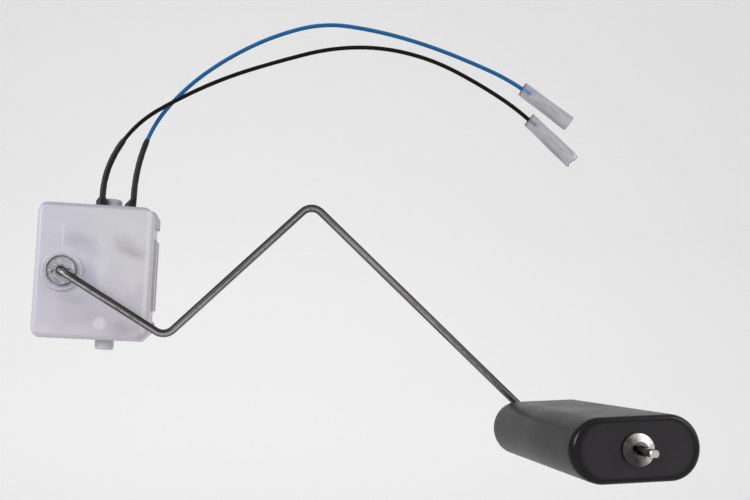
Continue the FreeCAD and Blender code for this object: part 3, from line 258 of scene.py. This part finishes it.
def make_float():
    """Each ring is the stadium section moved in along its normals by an inset, at a depth.

    The rings run from the bore over the back, the side and the front to the bore again. The edge round is
    1.2 mm at the flats and grows with the square of the normal's sideways part to 2 mm at the round ends.
    The front_edge layer holds how far a point is past the side, in millimetres along the widest round. It
    is -1 everywhere else.
    """
    half_length, half_height, widest = 17.5 * MM, 8.55 * MM, 2.0 * MM
    bore = 1.34 * MM
    face_width = 9.0
    count = 160
    outer_x, outer_z = stadium_ring(np.array([half_length]), np.array([half_height]), count)
    straight = half_length - half_height
    normal_x = (outer_x - np.clip(outer_x, -straight, straight)) / half_height
    normal_z = outer_z / half_height
    edge = widest * (0.6 + 0.4 * normal_x ** 2)
    depth = FLOAT_BACK - FLOAT_FRONT
    round_steps = np.radians(np.linspace(0, 90, 9))
    inset_round = edge * (1 - np.sin(round_steps))[:, None]
    depth_round = edge * (1 - np.cos(round_steps))[:, None]
    sides = edge + (depth - 2 * edge) * np.linspace(0, 1, 24)[1:-1, None]
    depths = np.concatenate([depth_round, sides, depth - depth_round[::-1]])
    insets = np.concatenate([inset_round, np.zeros_like(sides), inset_round[::-1]])
    x, z = outer_x - normal_x * insets, outer_z - normal_z * insets
    y = FLOAT_BACK - depths
    share = np.linspace(0, 1, 10)[1:, None]
    angle = np.arctan2(x[0], z[0])[None, :]
    bore_x, bore_z = bore * np.sin(angle), bore * np.cos(angle)
    in_x, in_z = x[:1] * (1 - share) + bore_x * share, z[:1] * (1 - share) + bore_z * share
    back_face = in_x[::-1], np.full_like(in_x, FLOAT_BACK), in_z[::-1]
    front_face = in_x, np.full_like(in_x, FLOAT_FRONT), in_z
    tunnel_y = np.linspace(FLOAT_FRONT, FLOAT_BACK, 8)[1:-1, None] + np.zeros_like(bore_x)
    tunnel = bore_x + np.zeros_like(tunnel_y), tunnel_y, bore_z + np.zeros_like(tunnel_y)
    px, py, pz = (np.concatenate(parts) for parts in zip(back_face, (x, y, z), front_face, tunnel))
    cos, sin = np.cos(FLOAT_TILT), np.sin(FLOAT_TILT)
    turned_x = FLOAT_CENTRE[0] + px * cos - pz * sin
    turned_z = FLOAT_CENTRE[1] + px * sin + pz * cos
    points = np.stack([turned_x, py, turned_z], axis=-1)
    faces = grid_faces(len(px), count, wrap_rows=True)[:, ::-1]
    made = make_mesh("foam_float", points, faces)
    past_side = np.full(len(px), -1.0)
    face_at = len(in_x) + len(depths)
    past_side[face_at - len(round_steps):face_at] = widest / MM * (np.pi / 2 - round_steps[::-1])
    past_side[face_at:face_at + len(in_x)] = widest / MM * np.pi / 2 + face_width * share[:, 0]
    keep(made, "front_edge", np.repeat(past_side, count))
    return made


def make_wire(name, route):
    """A smooth NURBS line through the space between the route's points, with a round section."""
    curve = bpy.data.curves.new(name, "CURVE")
    curve.dimensions = "3D"
    curve.resolution_u = 16
    curve.bevel_depth = WIRE_DIAMETER / 2
    curve.bevel_resolution = 5
    curve.use_fill_caps = True
    spline = curve.splines.new("NURBS")
    spline.points.add(len(route) - 1)
    weights = np.ones((len(route), 1))
    spline.points.foreach_set("co", np.hstack([route, weights]).ravel())
    spline.order_u = 3
    spline.use_endpoint_u = True
    made = bpy.data.objects.new(name, curve)
    bpy.context.collection.objects.link(made)
    return made


def centre_line(wire):
    """The wire's own line as an array of points, read from its curve with no bevel."""
    curve = wire.data
    depth, caps = curve.bevel_depth, curve.use_fill_caps
    curve.bevel_depth, curve.use_fill_caps = 0.0, False
    mesh = bpy.data.meshes.new_from_object(wire)
    points = np.empty(len(mesh.vertices) * 3)
    mesh.vertices.foreach_get("co", points)
    bpy.data.meshes.remove(mesh)
    curve.bevel_depth, curve.use_fill_caps = depth, caps
    return points.reshape(-1, 3)


def along(line, distances):
    """Points and unit directions at distances along a line of points."""
    steps = np.linalg.norm(np.diff(line, axis=0), axis=1)
    run = np.concatenate([[0.0], np.cumsum(steps)])
    step = 0.2 * MM

    def at(where):
        return np.stack([np.interp(where, run, line[:, axis]) for axis in range(3)], axis=-1)

    heading = at(distances + step) - at(distances - step)
    return at(distances), heading / np.linalg.norm(heading, axis=1, keepdims=True)


def ring_frame(heading, flat_axis):
    """Two unit axes across each heading: the first is as near flat_axis as it can be."""
    wide = flat_axis - heading * (heading @ flat_axis)[:, None]
    wide /= np.linalg.norm(wide, axis=1, keepdims=True)
    return wide, np.cross(heading, wide)


def make_heatshrink(name, line, blade, collar):
    """Ovals round the blade that narrow to a circle round the wire and follow it, with an inner wall.

    An oval keeps the collar's width up to the collar's height. From there up to SHRINK_RISE it narrows to
    the tube's width, by two fifths of a straight line and three fifths of a smooth step. Past the wire's
    start the ovals are circles with slight swellings, the sum of two sines of the length. They narrow by
    a straight line over the last tenth.
    """
    count = 48
    start = line[0]
    low = np.concatenate([np.linspace(0.0, collar, 6), np.linspace(collar, SHRINK_RISE, 14)[1:],
                          np.linspace(SHRINK_RISE, start[2] - CASE_TOP, 3)[1:]])
    waist = np.clip((low - collar) / (SHRINK_RISE - collar), 0, 1)
    waist = 0.4 * waist + 0.6 * waist * waist * (3 - 2 * waist)
    lower_x = blade + (start[0] - blade) * waist
    lower = np.stack([lower_x, np.full(len(low), start[1]), CASE_TOP + low], axis=-1)
    lengths = np.linspace(0.0, SHRINK_LENGTH, 60)[1:]
    upper, heading = along(line, lengths)
    centres = np.concatenate([lower, upper])
    heading = np.concatenate([np.tile(np.array([0.0, 0.0, 1.0]), (len(lower), 1)), heading])
    wide, deep = ring_frame(heading, np.array([1.0, 0.0, 0.0]))
    climb = lengths / lengths[-1]
    slack = 0.04 * np.sin(lengths / MM * 1.1) + 0.03 * np.sin(lengths / MM * 2.3 + 1.0)
    tip = np.clip((climb - 0.9) / 0.1, 0, 1)
    tube = 1.04 - 0.05 * climb + slack * 0.5 - 0.16 * tip
    across = np.concatenate([1.97 - 0.93 * waist, tube]) * MM
    depth = np.concatenate([0.9 + 0.14 * waist, tube]) * MM
    foot_round, wall = 0.08 * MM, 0.24 * MM
    across[0] -= foot_round
    depth[0] -= foot_round
    angle = np.linspace(0, 2 * np.pi, count, endpoint=False)
    shells = []
    for less in (0.0, wall):
        spread = (across - less)[:, None, None] * np.cos(angle)[None, :, None] * wide[:, None]
        reach = (depth - less)[:, None, None] * np.sin(angle)[None, :, None] * deep[:, None]
        shells.append(centres[:, None] + spread + reach)
    points = np.concatenate([shells[0], shells[1][::-1]])
    return make_mesh(name, points, grid_faces(len(points), count, wrap_rows=True))


def make_sleeve(name, line, lobe):
    """An oval tube round the wire's end and beyond it, in two walls that are joined at the rims.

    Each ring is a stadium section at its distance along the tube's line, and its half widths grow by 0.2 mm
    towards the mouth with a slight wave. Near the start a slant moves the ring's points along the tube.
    Towards the mouth the lobe moves them, by the square of the distance past 0.62 of the length: a broad
    flat-topped bell for the tongue, cut back by a square at the upper edge, a narrow bell for the notch and
    a straight ramp for the point at the lower edge. The finish reads across, from -1 to 1, and lengthwise,
    from 0 to 1.
    """
    count = 96
    heading = line[-1] - line[-4]
    heading /= np.linalg.norm(heading)
    start = line[-1] - heading * WIRE_IN_SLEEVE
    share = np.concatenate([[0.0, 0.012], np.linspace(0.04, 0.96, 44), [0.988, 1.0]])
    reach = SLEEVE_LENGTH * share
    wide, deep = (axis[0] for axis in ring_frame(heading[None], np.array([0.0, 0.0, 1.0])))
    soft = 0.06 * np.sin(share * 9.0 + lobe * 2.0)
    half_wide = (2.52 + 0.2 * share + soft) * MM
    half_deep = (1.7 + 0.2 * share - 0.5 * soft) * MM
    wall = 0.28 * MM
    rim_round = 0.12 * MM * ((share == 0) + (share == 1))
    edge = np.clip((share - 0.62) / 0.38, 0, 1)[:, None] ** 2
    near_start = np.clip((0.25 - share) / 0.25, 0, 1)[:, None]
    shells, sides = [], None
    for less, smaller in ((0.0, rim_round), (wall, np.full_like(share, wall))):
        u, v = stadium_ring(half_wide - smaller, half_deep - smaller, count)
        side = u / (half_wide[-1] - less)
        sides = side if sides is None else sides
        slant = near_start * 0.25 * MM * side
        tongue = 0.7 * np.exp(-((side - 0.2) / 0.55) ** 4) - 1.4 * np.clip((side - 0.65) / 0.35, 0, 1) ** 2
        notch = 1.7 * np.exp(-((side + 0.52) / 0.2) ** 2)
        point = 0.8 * np.clip((-side - 0.78) / 0.22, 0, 1)
        shift = lobe * (tongue - notch + point) * MM * edge - slant
        centres = start + reach[:, None] * heading
        shell = centres[:, None] + u[..., None] * wide + v[..., None] * deep
        shells.append(shell + shift[..., None] * heading)
    points = np.concatenate([shells[0], shells[1][::-1]])
    made = make_mesh(name, points, grid_faces(len(points), count, wrap_rows=True)[:, ::-1])
    keep(made, "across", np.concatenate([sides, sides[::-1]]))
    keep(made, "lengthwise", np.repeat(np.concatenate([share, share[::-1]]), count))
    return made


def dress(name, finish):
    """Gives a CAD node a finer material in place of its plain one."""
    node = bpy.data.objects[name]
    node.data.materials.clear()
    node.data.materials.append(finish.material)


def cover_finish():
    """Milky plastic. What lies behind it shows as soft lighter and darker patches, with a fine grain.
    Painted light is added too: a painted shadow beside the boss, painted highlights on the side fillets,
    painted shade on the top fillet and along the rail, and painted light underneath.
    """
    finish = Finish("milky_cover", (0.52, 0.505, 0.56), 0.38, Subsurface_Weight=0.1,
                    Subsurface_Radius=(0.003, 0.003, 0.003), Subsurface_Scale=1.0)
    _, x, y, z = finish.place()
    cloud = finish.grain(45.0, 4.0, 0.6)
    lavender, neutral, rose = (0.512, 0.500, 0.572), (0.54, 0.535, 0.553), (0.525, 0.498, 0.548)
    shade = finish.tint(lavender, neutral, (x + z * 0.5).fade(4 * MM, 26 * MM) * 0.9)
    shade = finish.tint(shade, rose, (x * 0.5 - z).fade(2 * MM, 26 * MM) * 0.8)
    shade = finish.tint(shade, (0.56, 0.55, 0.60), cloud.fade(0.45, 0.75) * 0.4)
    brown, blue, pink = (0.36, 0.335, 0.37), (0.385, 0.37, 0.47), (0.42, 0.38, 0.435)
    pale = (0.61, 0.605, 0.635)
    patches = (
        (5.4, 10.9, 8.0, 3.0, 0.05, blue, 0.75),
        (7.6, 8.4, 6.5, 4.0, 0.30, blue, 0.45),
        (21.3, 8.4, 8.8, 4.3, 0.50, brown, 0.78),
        (23.4, 7.0, 5.8, 3.8, 0.40, brown, 0.38),
        (20.2, -18.3, 7.6, 3.6, 0.12, brown, 0.50),
        # Painted shadow of the raised boss, on its right.
        (8.6, -0.6, 4.0, 6.8, -0.50, blue, 0.80),
        (4.2, -9.0, 7.5, 3.0, 0.10, pink, 0.50),
        (3.0, -14.5, 7.0, 4.4, -0.20, pink, 0.35),
        (9.3, -15.4, 5.4, 3.4, 0.20, pink, 0.40),
        (25.0, -7.0, 5.0, 6.0, 0.0, pink, 0.30),
        (12.8, 2.2, 4.2, 7.0, 0.1, pale, 0.70),
        (22.6, -2.4, 6.0, 5.6, 0.0, pale, 0.45),
        (22.0, 15.6, 8.0, 4.5, 0.1, pale, 0.35),
        (-3.4, 15.4, 4.6, 4.0, 0.3, pale, 0.25),
        (-4.6, -19.2, 4.5, 2.2, 0.1, pale, 0.50),
    )
    warped = finish.wobble(150.0, 1.6 * MM)
    deep = 6.0 * MM
    for across, up, wide, tall, tilt, colour, share in patches:
        centre, reach = (across * MM, CASE_FACE, up * MM), (wide * MM, deep, tall * MM)
        shade = finish.tint(shade, colour, finish.blob(centre, reach, tilt, warped) * share)
    posts = (
        (13.0, 11.2, 3.1, (0.555, 0.545, 0.568)),
        (13.2, -16.8, 3.2, (0.66, 0.63, 0.68)),
    )
    for across, up, wide, colour in posts:
        post = finish.blob((across * MM, CASE_FACE, up * MM), (wide * MM, deep, wide * MM))
        shade = finish.tint(shade, colour, post.fade(0.0, 0.6) * 0.9)
    front = (y + 12.0 * MM).fade(0.0, -0.6 * MM)
    line = (x + 0.4 * MM).size().fade(0.45 * MM, 0.05 * MM)
    line = line * (z - 11.9 * MM).size().fade(3.9 * MM, 2.9 * MM)
    shade = finish.tint(shade, (0.68, 0.67, 0.74), line * front * 0.5)
    # Painted highlights along the front face's left and right fillets.
    left = (x + 7.6 * MM).fade(0.8 * MM, -0.8 * MM) * 0.55
    right = (x - 27.4 * MM).size().fade(0.9 * MM, 0.2 * MM) * front * 0.75
    shade = finish.tint(shade, (0.62, 0.615, 0.65), left.larger(right))
    # Painted shade on the top fillet.
    rim = (z - 21.5 * MM).fade(-0.4 * MM, 0.7 * MM) * 0.95
    shade = finish.tint(shade, (0.34, 0.325, 0.385), rim)
    # Painted light on the underside and the lower peg, lighter towards the bottom.
    underside_light = (z + 21.0 * MM).fade(0.0, -1.2 * MM) * 0.6
    shade = finish.tint(shade, (0.66, 0.655, 0.68), underside_light)
    # Painted shade in a dark line where the rail steps out from the side.
    beside = (x - 28.8 * MM).fade(0.0, 0.2 * MM)
    rail_step_shade = (y + 7.0 * MM).size().fade(0.4 * MM, 0.1 * MM)
    rail = (z - 0.7 * MM).size().fade(12.4 * MM, 11.8 * MM)
    shade = finish.tint(shade, (0.24, 0.20, 0.23), beside * rail_step_shade * rail * 0.8)
    # Painted shade on the rail's outer side, darker towards the back.
    rail_side_shade = (x - 29.5 * MM).fade(0.0, 0.2 * MM) * (y + 5.0 * MM).fade(0.0, 1.4 * MM)
    shade = finish.tint(shade, (0.13, 0.125, 0.14), rail_side_shade * 0.85)
    finish.feed(Base_Color=shade)
    finish.feed(Roughness=0.30 + finish.grain(700.0, 2.0) * 0.16)
    finish.relief(finish.grain(1300.0, 2.0) + cloud * 2.0, 0.02 * MM, 0.35)
    return finish


def metal_finish(name, base, roughness):
    """Drawn or pressed metal with streaks, a mottled plating and fine scratches."""
    finish = Finish(name, base, roughness, Metallic=1.0)
    streak = finish.grain(700.0, 4.0, 0.65)
    mottle = finish.grain(260.0)
    dull = tuple(0.55 * part for part in base)
    bright = tuple(min(1.0, 1.35 * part) for part in base)
    shade = finish.tint(base, dull, streak.fade(0.42, 0.72) * 0.7)
    finish.feed(Base_Color=finish.tint(shade, bright, mottle.fade(0.52, 0.75) * 0.5))
    finish.feed(Roughness=roughness - 0.08 + streak * 0.2)
    finish.relief(streak + finish.grain(2600.0), 0.02 * MM, 0.35)
    return finish


def nut_finish(name, base, centre, rim, ring, left_shade):
    """Pressed spring steel with streaks that run out from the axis, a dark rim and a dark middle, both
    painted shade.

    rim and ring are the radii of the two, and the left side is darkened by a share, as painted shade.
    """
    finish = Finish(name, base, 0.33, Metallic=1.0, Specular_Tint=(0.35, 0.35, 0.36, 1.0))
    _, x, _, z = finish.place()
    across, up = x - centre[0], z - centre[1]
    radius = (across * across + up * up) ** 0.5
    offset = finish.add("CombineXYZ", inputs={0: across, 1: 0.0, 2: up})
    ray = finish.add("VectorMath", {"operation": "NORMALIZE"}, {0: offset})
    streak = finish.grain(5.0, 4.0, 0.7, ray)
    mottle = finish.grain(900.0)
    dull = tuple(0.38 * part for part in base)
    bright = tuple(min(1.0, 1.5 * part) for part in base)
    shade = finish.tint(base, dull, (streak * 0.35 + mottle * 0.65).fade(0.44, 0.56))
    shade = finish.tint(shade, bright, (streak * mottle).fade(0.24, 0.31) * 0.8)
    # Painted shade: a dark rim, stronger on the right, and a dark middle round the rod.
    edge = radius.fade(rim - 0.55 * MM, rim - 0.05 * MM)
    cup_shade = radius.fade(ring + 0.25 * MM, ring - 0.25 * MM)
    # Painted shade on the left side of the dome.
    left = (across + up * 0.5).fade(2.6 * MM, -2.2 * MM)
    shade = finish.tint(shade, (0.02, 0.017, 0.016), left * left_shade)
    rim_side_shade = (across + up * 0.3).fade(-4.0 * MM, 2.0 * MM) * 0.4 + 0.3
    shade = finish.tint(shade, (0.11, 0.105, 0.105), (edge * rim_side_shade).larger(cup_shade * 0.75))
    finish.feed(Base_Color=shade)
    finish.feed(Roughness=0.26 + mottle * 0.16)
    finish.relief(mottle + streak, 0.03 * MM, 0.5)
    return finish


def above_rod(x, z):
    """How far a point is above the rod's axis, seen from the front.

    Over a straight run it is the distance from the run's line. Over a bend it is the distance from the
    bend's centre less the bend's radius, and its sign is turned where the centre lies above the rod.
    """
    runs = np.diff(ROD_BENDS, axis=0)
    ways = runs / np.linalg.norm(runs, axis=1, keepdims=True)

    def above_run(start, way):
        return (z - float(start[1])) * float(way[0]) - (x - float(start[0])) * float(way[1])

    offset = above_run(ROD_BENDS[0], ways[0])
    for corner, before, after in zip(ROD_BENDS[1:], ways, ways[1:]):
        half_turn = np.arccos(before @ after) / 2
        inward = (after - before) / np.linalg.norm(after - before)
        centre = corner + inward * ROD_BEND_RADIUS / np.cos(half_turn)
        reach = ROD_BEND_RADIUS * np.tan(half_turn)
        from_x, from_z = x - float(centre[0]), z - float(centre[1])
        radius = (from_x * from_x + from_z * from_z) ** 0.5
        bend = (radius - ROD_BEND_RADIUS) * float(-np.sign(inward[1]))
        bend_from, bend_to = float((corner - before * reach)[0]), float((corner + after * reach)[0])
        offset = offset + (bend - offset) * x.fade(bend_from - 0.1 * MM, bend_from + 0.1 * MM)
        run = above_run(corner, after)
        offset = offset + (run - offset) * x.fade(bend_to - 0.1 * MM, bend_to + 0.1 * MM)
    return offset


def rod_finish():
    """Drawn steel gone dark grey, with lines along it and a bright pinched end.

    Painted shade makes the upper side the darkest and darkens the sides and the runs past the first bend,
    and a painted highlight draws a thin bright line below the upper side.
    """
    finish = Finish("drawn_rod", (0.18, 0.178, 0.18), 0.27, Metallic=1.0,
                    Specular_Tint=(0.0, 0.0, 0.0, 1.0))
    _, x, y, z = finish.place()
    offset = above_rod(x, z)
    lines = finish.add("CombineXYZ", inputs={0: offset, 1: y, 2: x * 0.03})
    line = finish.grain(1100.0, 3.0, 0.6, lines)
    scratch = finish.grain(1800.0, 3.0, 0.6)
    shade = finish.tint((0.24, 0.236, 0.24), (0.10, 0.098, 0.10), line.fade(0.50, 0.58) * 0.85)
    shade = finish.tint(shade, (0.38, 0.372, 0.37), line.fade(0.50, 0.42) * 0.85)
    pinched = (y + 86.5 * MM).fade(1.0 * MM, -1.0 * MM)
    # Painted shade at the sides of the rod.
    shade = finish.tint(shade, (0.035, 0.034, 0.035), offset.size().fade(0.7 * MM, 1.2 * MM) * 0.5)
    # Painted shade on the upper side, away from the ends.
    between = x.fade(1.2 * MM, 4.5 * MM) * x.fade(160.3 * MM, 158.0 * MM)
    shade = finish.tint(shade, (0.022, 0.020, 0.021), offset.fade(-0.1 * MM, 0.4 * MM) * between * 0.82)
    # Painted highlight in a thin bright line below the upper side.
    glint = (offset + 0.35 * MM).size().fade(0.26 * MM, 0.04 * MM) * scratch.fade(0.3, 0.6)
    shade = finish.tint(shade, (0.85, 0.84, 0.84), glint * 0.6)
    # Painted shade: darker past the first bend.
    shade = finish.tint(shade, (0.05, 0.048, 0.049), x.fade(30.0 * MM, 44.0 * MM) * 0.28)
    finish.feed(Base_Color=finish.tint(shade, (0.60, 0.585, 0.57), pinched))
    finish.feed(Roughness=0.24 + scratch * 0.10)
    finish.relief(scratch, 0.01 * MM, 0.15)
    return finish


def foam_finish():
    """Closed-cell foam skin, nearly black, with fine pores, faint clouds and a glossier front edge whose
    darker colour is painted shade.
    """
    finish = Finish("nitrile_foam", (0.013, 0.0125, 0.0135), 0.33, Specular_IOR_Level=0.25,
                    Specular_Tint=(1.0, 0.95, 1.0, 1.0))
    pores = finish.grain(1500.0, 2.0, 0.6)
    cloud = finish.grain(55.0, 4.0)
    past_side = finish.kept("front_edge")
    # The front round is glossier, and its darker colour is painted shade.
    edge = past_side.fade(-0.2, 0.5) * past_side.fade(4.2, 3.1)
    shade = finish.tint((0.010, 0.0092, 0.010), (0.022, 0.020, 0.022), cloud * 0.8 + pores * 0.25)
    finish.feed(Base_Color=finish.tint(shade, (0.001, 0.001, 0.001), edge * 0.95))
    finish.feed(Roughness=0.20 + pores * 0.14 + cloud * 0.22 - edge * 0.14)
    finish.relief(pores + cloud * 3.0, 0.035 * MM, 0.4)
    return finish


def plain_finish(name, base, roughness, **constants):
    """Plastic, ceramic or ink in one colour, with a slight mottle and grain."""
    finish = Finish(name, base, roughness, **constants)
    cloud = finish.grain(1200.0)
    deep = tuple(0.75 * part for part in base)
    finish.feed(Base_Color=finish.tint(base, deep, cloud * 0.6))
    finish.feed(Roughness=roughness - 0.06 + cloud * 0.12)
    finish.relief(cloud, 0.01 * MM, 0.3)
    return finish


def sleeve_finish(name, inner, depth):
    """Soft clear vinyl gone hazy and greyish, with faint lines, and with painted shade in a darker band
    along one side and at its rims.

    Round the wire's end the vinyl takes on the inner colour, as strongly as depth says.
    """
    finish = Finish(name, (0.33, 0.325, 0.35), 0.42, IOR=1.45)
    haze = finish.grain(160.0)
    flow = finish.grain(420.0)
    across, lengthwise = finish.kept("across"), finish.kept("lengthwise")
    # Painted shade along one side and at the rims.
    side = across.fade(0.78, 0.95).larger(across.fade(-0.92, -1.0) * 0.4)
    rim = lengthwise.fade(0.035, 0.01).larger(lengthwise.fade(0.975, 0.995))
    crease = (across.size() - 0.62).size().fade(0.05, 0.01) * lengthwise.fade(0.1, 0.3)
    edge = side.larger(rim * 0.8)
    shade = finish.tint((0.54, 0.535, 0.575), (0.45, 0.44, 0.48), flow.fade(0.4, 0.7) * 0.6)
    shade = finish.tint(shade, (0.55, 0.55, 0.57), crease * 0.5)
    wire = across.size().fade(0.55, 0.15) * lengthwise.fade(0.25, 0.14)
    shade = finish.tint(shade, inner, wire * depth)
    finish.feed(Base_Color=finish.tint(shade, (0.20, 0.195, 0.21), edge))
    start = lengthwise.fade(0.26, 0.20)
    finish.feed(Alpha=0.40 + haze * 0.08 + edge * 0.30 - start * 0.06)
    finish.relief(haze + flow * 0.5, 0.03 * MM, 0.2)
    return finish


def dress_pieces():
    """All finishes, and the pieces that stand for soft or flexible nodes."""
    cover = cover_finish()
    for node in ("front_cover", "rear_cover"):
        dress(node, cover)
    dress("resistor_card", plain_finish("fired_ceramic", (0.80, 0.78, 0.73), 0.7))
    dress("resistor_track", plain_finish("resistor_ink", (0.02, 0.02, 0.022), 0.6))
    dress("collector_track", metal_finish("silver_ink", (0.70, 0.68, 0.63), 0.45))
    terminal = metal_finish("tinned_strip", (0.72, 0.70, 0.66), 0.32)
    for node in ("signal_terminal", "ground_terminal", "blue_receptacle", "black_receptacle"):
        dress(node, terminal)
    dress("rotor", plain_finish("rotor_plastic", (0.72, 0.70, 0.65), 0.5))
    dress("wiper_spring", metal_finish("wiper_sheet", (0.75, 0.66, 0.48), 0.3))
    contact = metal_finish("contact_metal", (0.78, 0.77, 0.75), 0.2)
    for node in ("short_finger_contact", "long_finger_contact"):
        dress(node, contact)
    dress("float_arm", rod_finish())
    dress("pivot_retainer", nut_finish(
        "pivot_nut_steel", (0.42, 0.414, 0.437), (0.0, 0.0), rim=5.05 * MM, ring=1.85 * MM, left_shade=0.1))
    dress("float_retainer", nut_finish(
        "float_nut_steel", (0.72, 0.685, 0.655), FLOAT_CENTRE, rim=4.5 * MM, ring=2.2 * MM, left_shade=0.95))
    foam = make_float()
    foam.data.materials.append(foam_finish().material)
    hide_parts("float")
    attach(foam, "float")
    insulation = {
        "blue": plain_finish("blue_insulation", (0.003, 0.116, 0.33), 0.22, Specular_IOR_Level=0.24),
        "black": plain_finish("black_insulation", (0.004, 0.004, 0.0045), 0.20, Specular_IOR_Level=0.11),
    }
    tube = plain_finish("shrunk_tube", (0.007, 0.007, 0.0075), 0.33, Specular_IOR_Level=0.22)
    vinyl = {
        "blue": sleeve_finish("blue_end_vinyl", (0.10, 0.24, 0.50), 0.8),
        "black": sleeve_finish("black_end_vinyl", (0.30, 0.28, 0.36), 0.7),
    }
    for colour, route, blade, collar, lobe in (
        ("blue", BLUE_ROUTE, 20.2 * MM, 0.6 * MM, 0.0), ("black", BLACK_ROUTE, 10.7 * MM, 1.7 * MM, 1.0),
    ):
        wire = make_wire(f"{colour}_lead", route)
        wire.data.materials.append(insulation[colour].material)
        line = centre_line(wire)
        shrink = make_heatshrink(f"{colour}_shrink_tube", line, blade, collar)
        shrink.data.materials.append(tube.material)
        sleeve = make_sleeve(f"{colour}_vinyl_sleeve", line, lobe)
        sleeve.data.materials.append(vinyl[colour].material)
        for piece, node, slot in (
            (wire, f"{colour}_wire", f"{colour}_insulation"),
            (shrink, f"{colour}_heatshrink", "heatshrink"),
            (sleeve, f"{colour}_sleeve", "sleeve"),
        ):
            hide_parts(node)
            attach(piece, "housing")


def set_camera():
    """The camera's axes and place, found from the case's edges and the float's two ends.

    The lens is LENS_PIXELS long, and the camera's axis meets the picture at AIM_ACROSS, AIM_DOWN.
    """
    right = Vector((0.9954, -0.0843, 0.0465))
    forward = Vector((0.0812, 0.9946, 0.0653)).normalized()
    right = (right - forward * right.dot(forward)).normalized()
    up = right.cross(forward)
    camera = bpy.data.cameras.new("camera")
    camera.sensor_width = SENSOR
    camera.lens = LENS_PIXELS / PHOTO_WIDTH * SENSOR
    camera.shift_x = (PHOTO_WIDTH / 2 - AIM_ACROSS) / PHOTO_WIDTH
    camera.shift_y = (AIM_DOWN - PHOTO_HEIGHT / 2) / PHOTO_WIDTH
    camera.clip_start = 0.01
    made = bpy.data.objects.new("camera", camera)
    axes = Matrix((right, up, -forward)).transposed().to_4x4()
    made.matrix_world = Matrix.Translation(Vector((58.09, -271.60, -23.25)) * MM) @ axes
    bpy.context.collection.objects.link(made)
    bpy.context.scene.camera = made


def add_light(name, place, size, power):
    """A soft square lamp that faces the part, with a narrow spread that keeps its light off the floor."""
    target = (0.06, -0.03, 0.0)
    lamp = bpy.data.lights.new(name, "AREA")
    lamp.shape = "SQUARE"
    lamp.size = size
    lamp.spread = np.radians(60.0)
    lamp.energy = power
    made = bpy.data.objects.new(name, lamp)
    aim = (Vector(target) - Vector(place)).to_track_quat("-Z", "Y")
    made.matrix_world = Matrix.Translation(Vector(place)) @ aim.to_matrix().to_4x4()
    bpy.context.collection.objects.link(made)


def set_stage():
    """A pale floor that rolls up into a pale backdrop, two soft lamps in front and an even sky.

    The floor glows a little for rays that show it, and lights nothing with that.
    """
    profile = np.array([
        (-9.0, -0.22), (0.35, -0.22), (0.55, -0.18), (0.68, -0.05), (0.74, 0.15), (0.76, 1.6),
    ])
    width = np.array([-9.0, 9.0])
    points = np.stack([
        np.broadcast_to(width[None, :], (len(profile), 2)),
        np.broadcast_to(profile[:, :1], (len(profile), 2)),
        np.broadcast_to(profile[:, 1:], (len(profile), 2)),
    ], axis=-1)
    floor = make_mesh("studio_floor", points, grid_faces(len(profile), 2, wrap_columns=False))
    finish = Finish("pale_paper", (0.72, 0.72, 0.72), 1.0, Specular_IOR_Level=0.0,
                    Emission_Strength=1.0)
    finish.feed(Emission_Color=finish.tint((0.0, 0.0, 0.0), (0.228, 0.228, 0.228), finish.shown()))
    floor.data.materials.append(finish.material)
    world = bpy.data.worlds.new("studio")
    sky = Graph(world, "Background")
    sky.surface.inputs["Color"].default_value = (0.80, 0.80, 0.80, 1.0)
    sky.feed(Strength=sky.add("MapRange", inputs={"Value": sky.shown(), "To Min": 0.86, "To Max": 1.0}))
    bpy.context.scene.world = world
    bpy.context.scene.view_settings.view_transform = "Standard"
    add_light("softbox_left", (-1.08, -1.20, 0.48), size=0.66, power=1.52)
    add_light("softbox_right", (1.12, -0.89, 0.57), size=0.88, power=0.94)


dress_pieces()
set_stage()
set_camera()
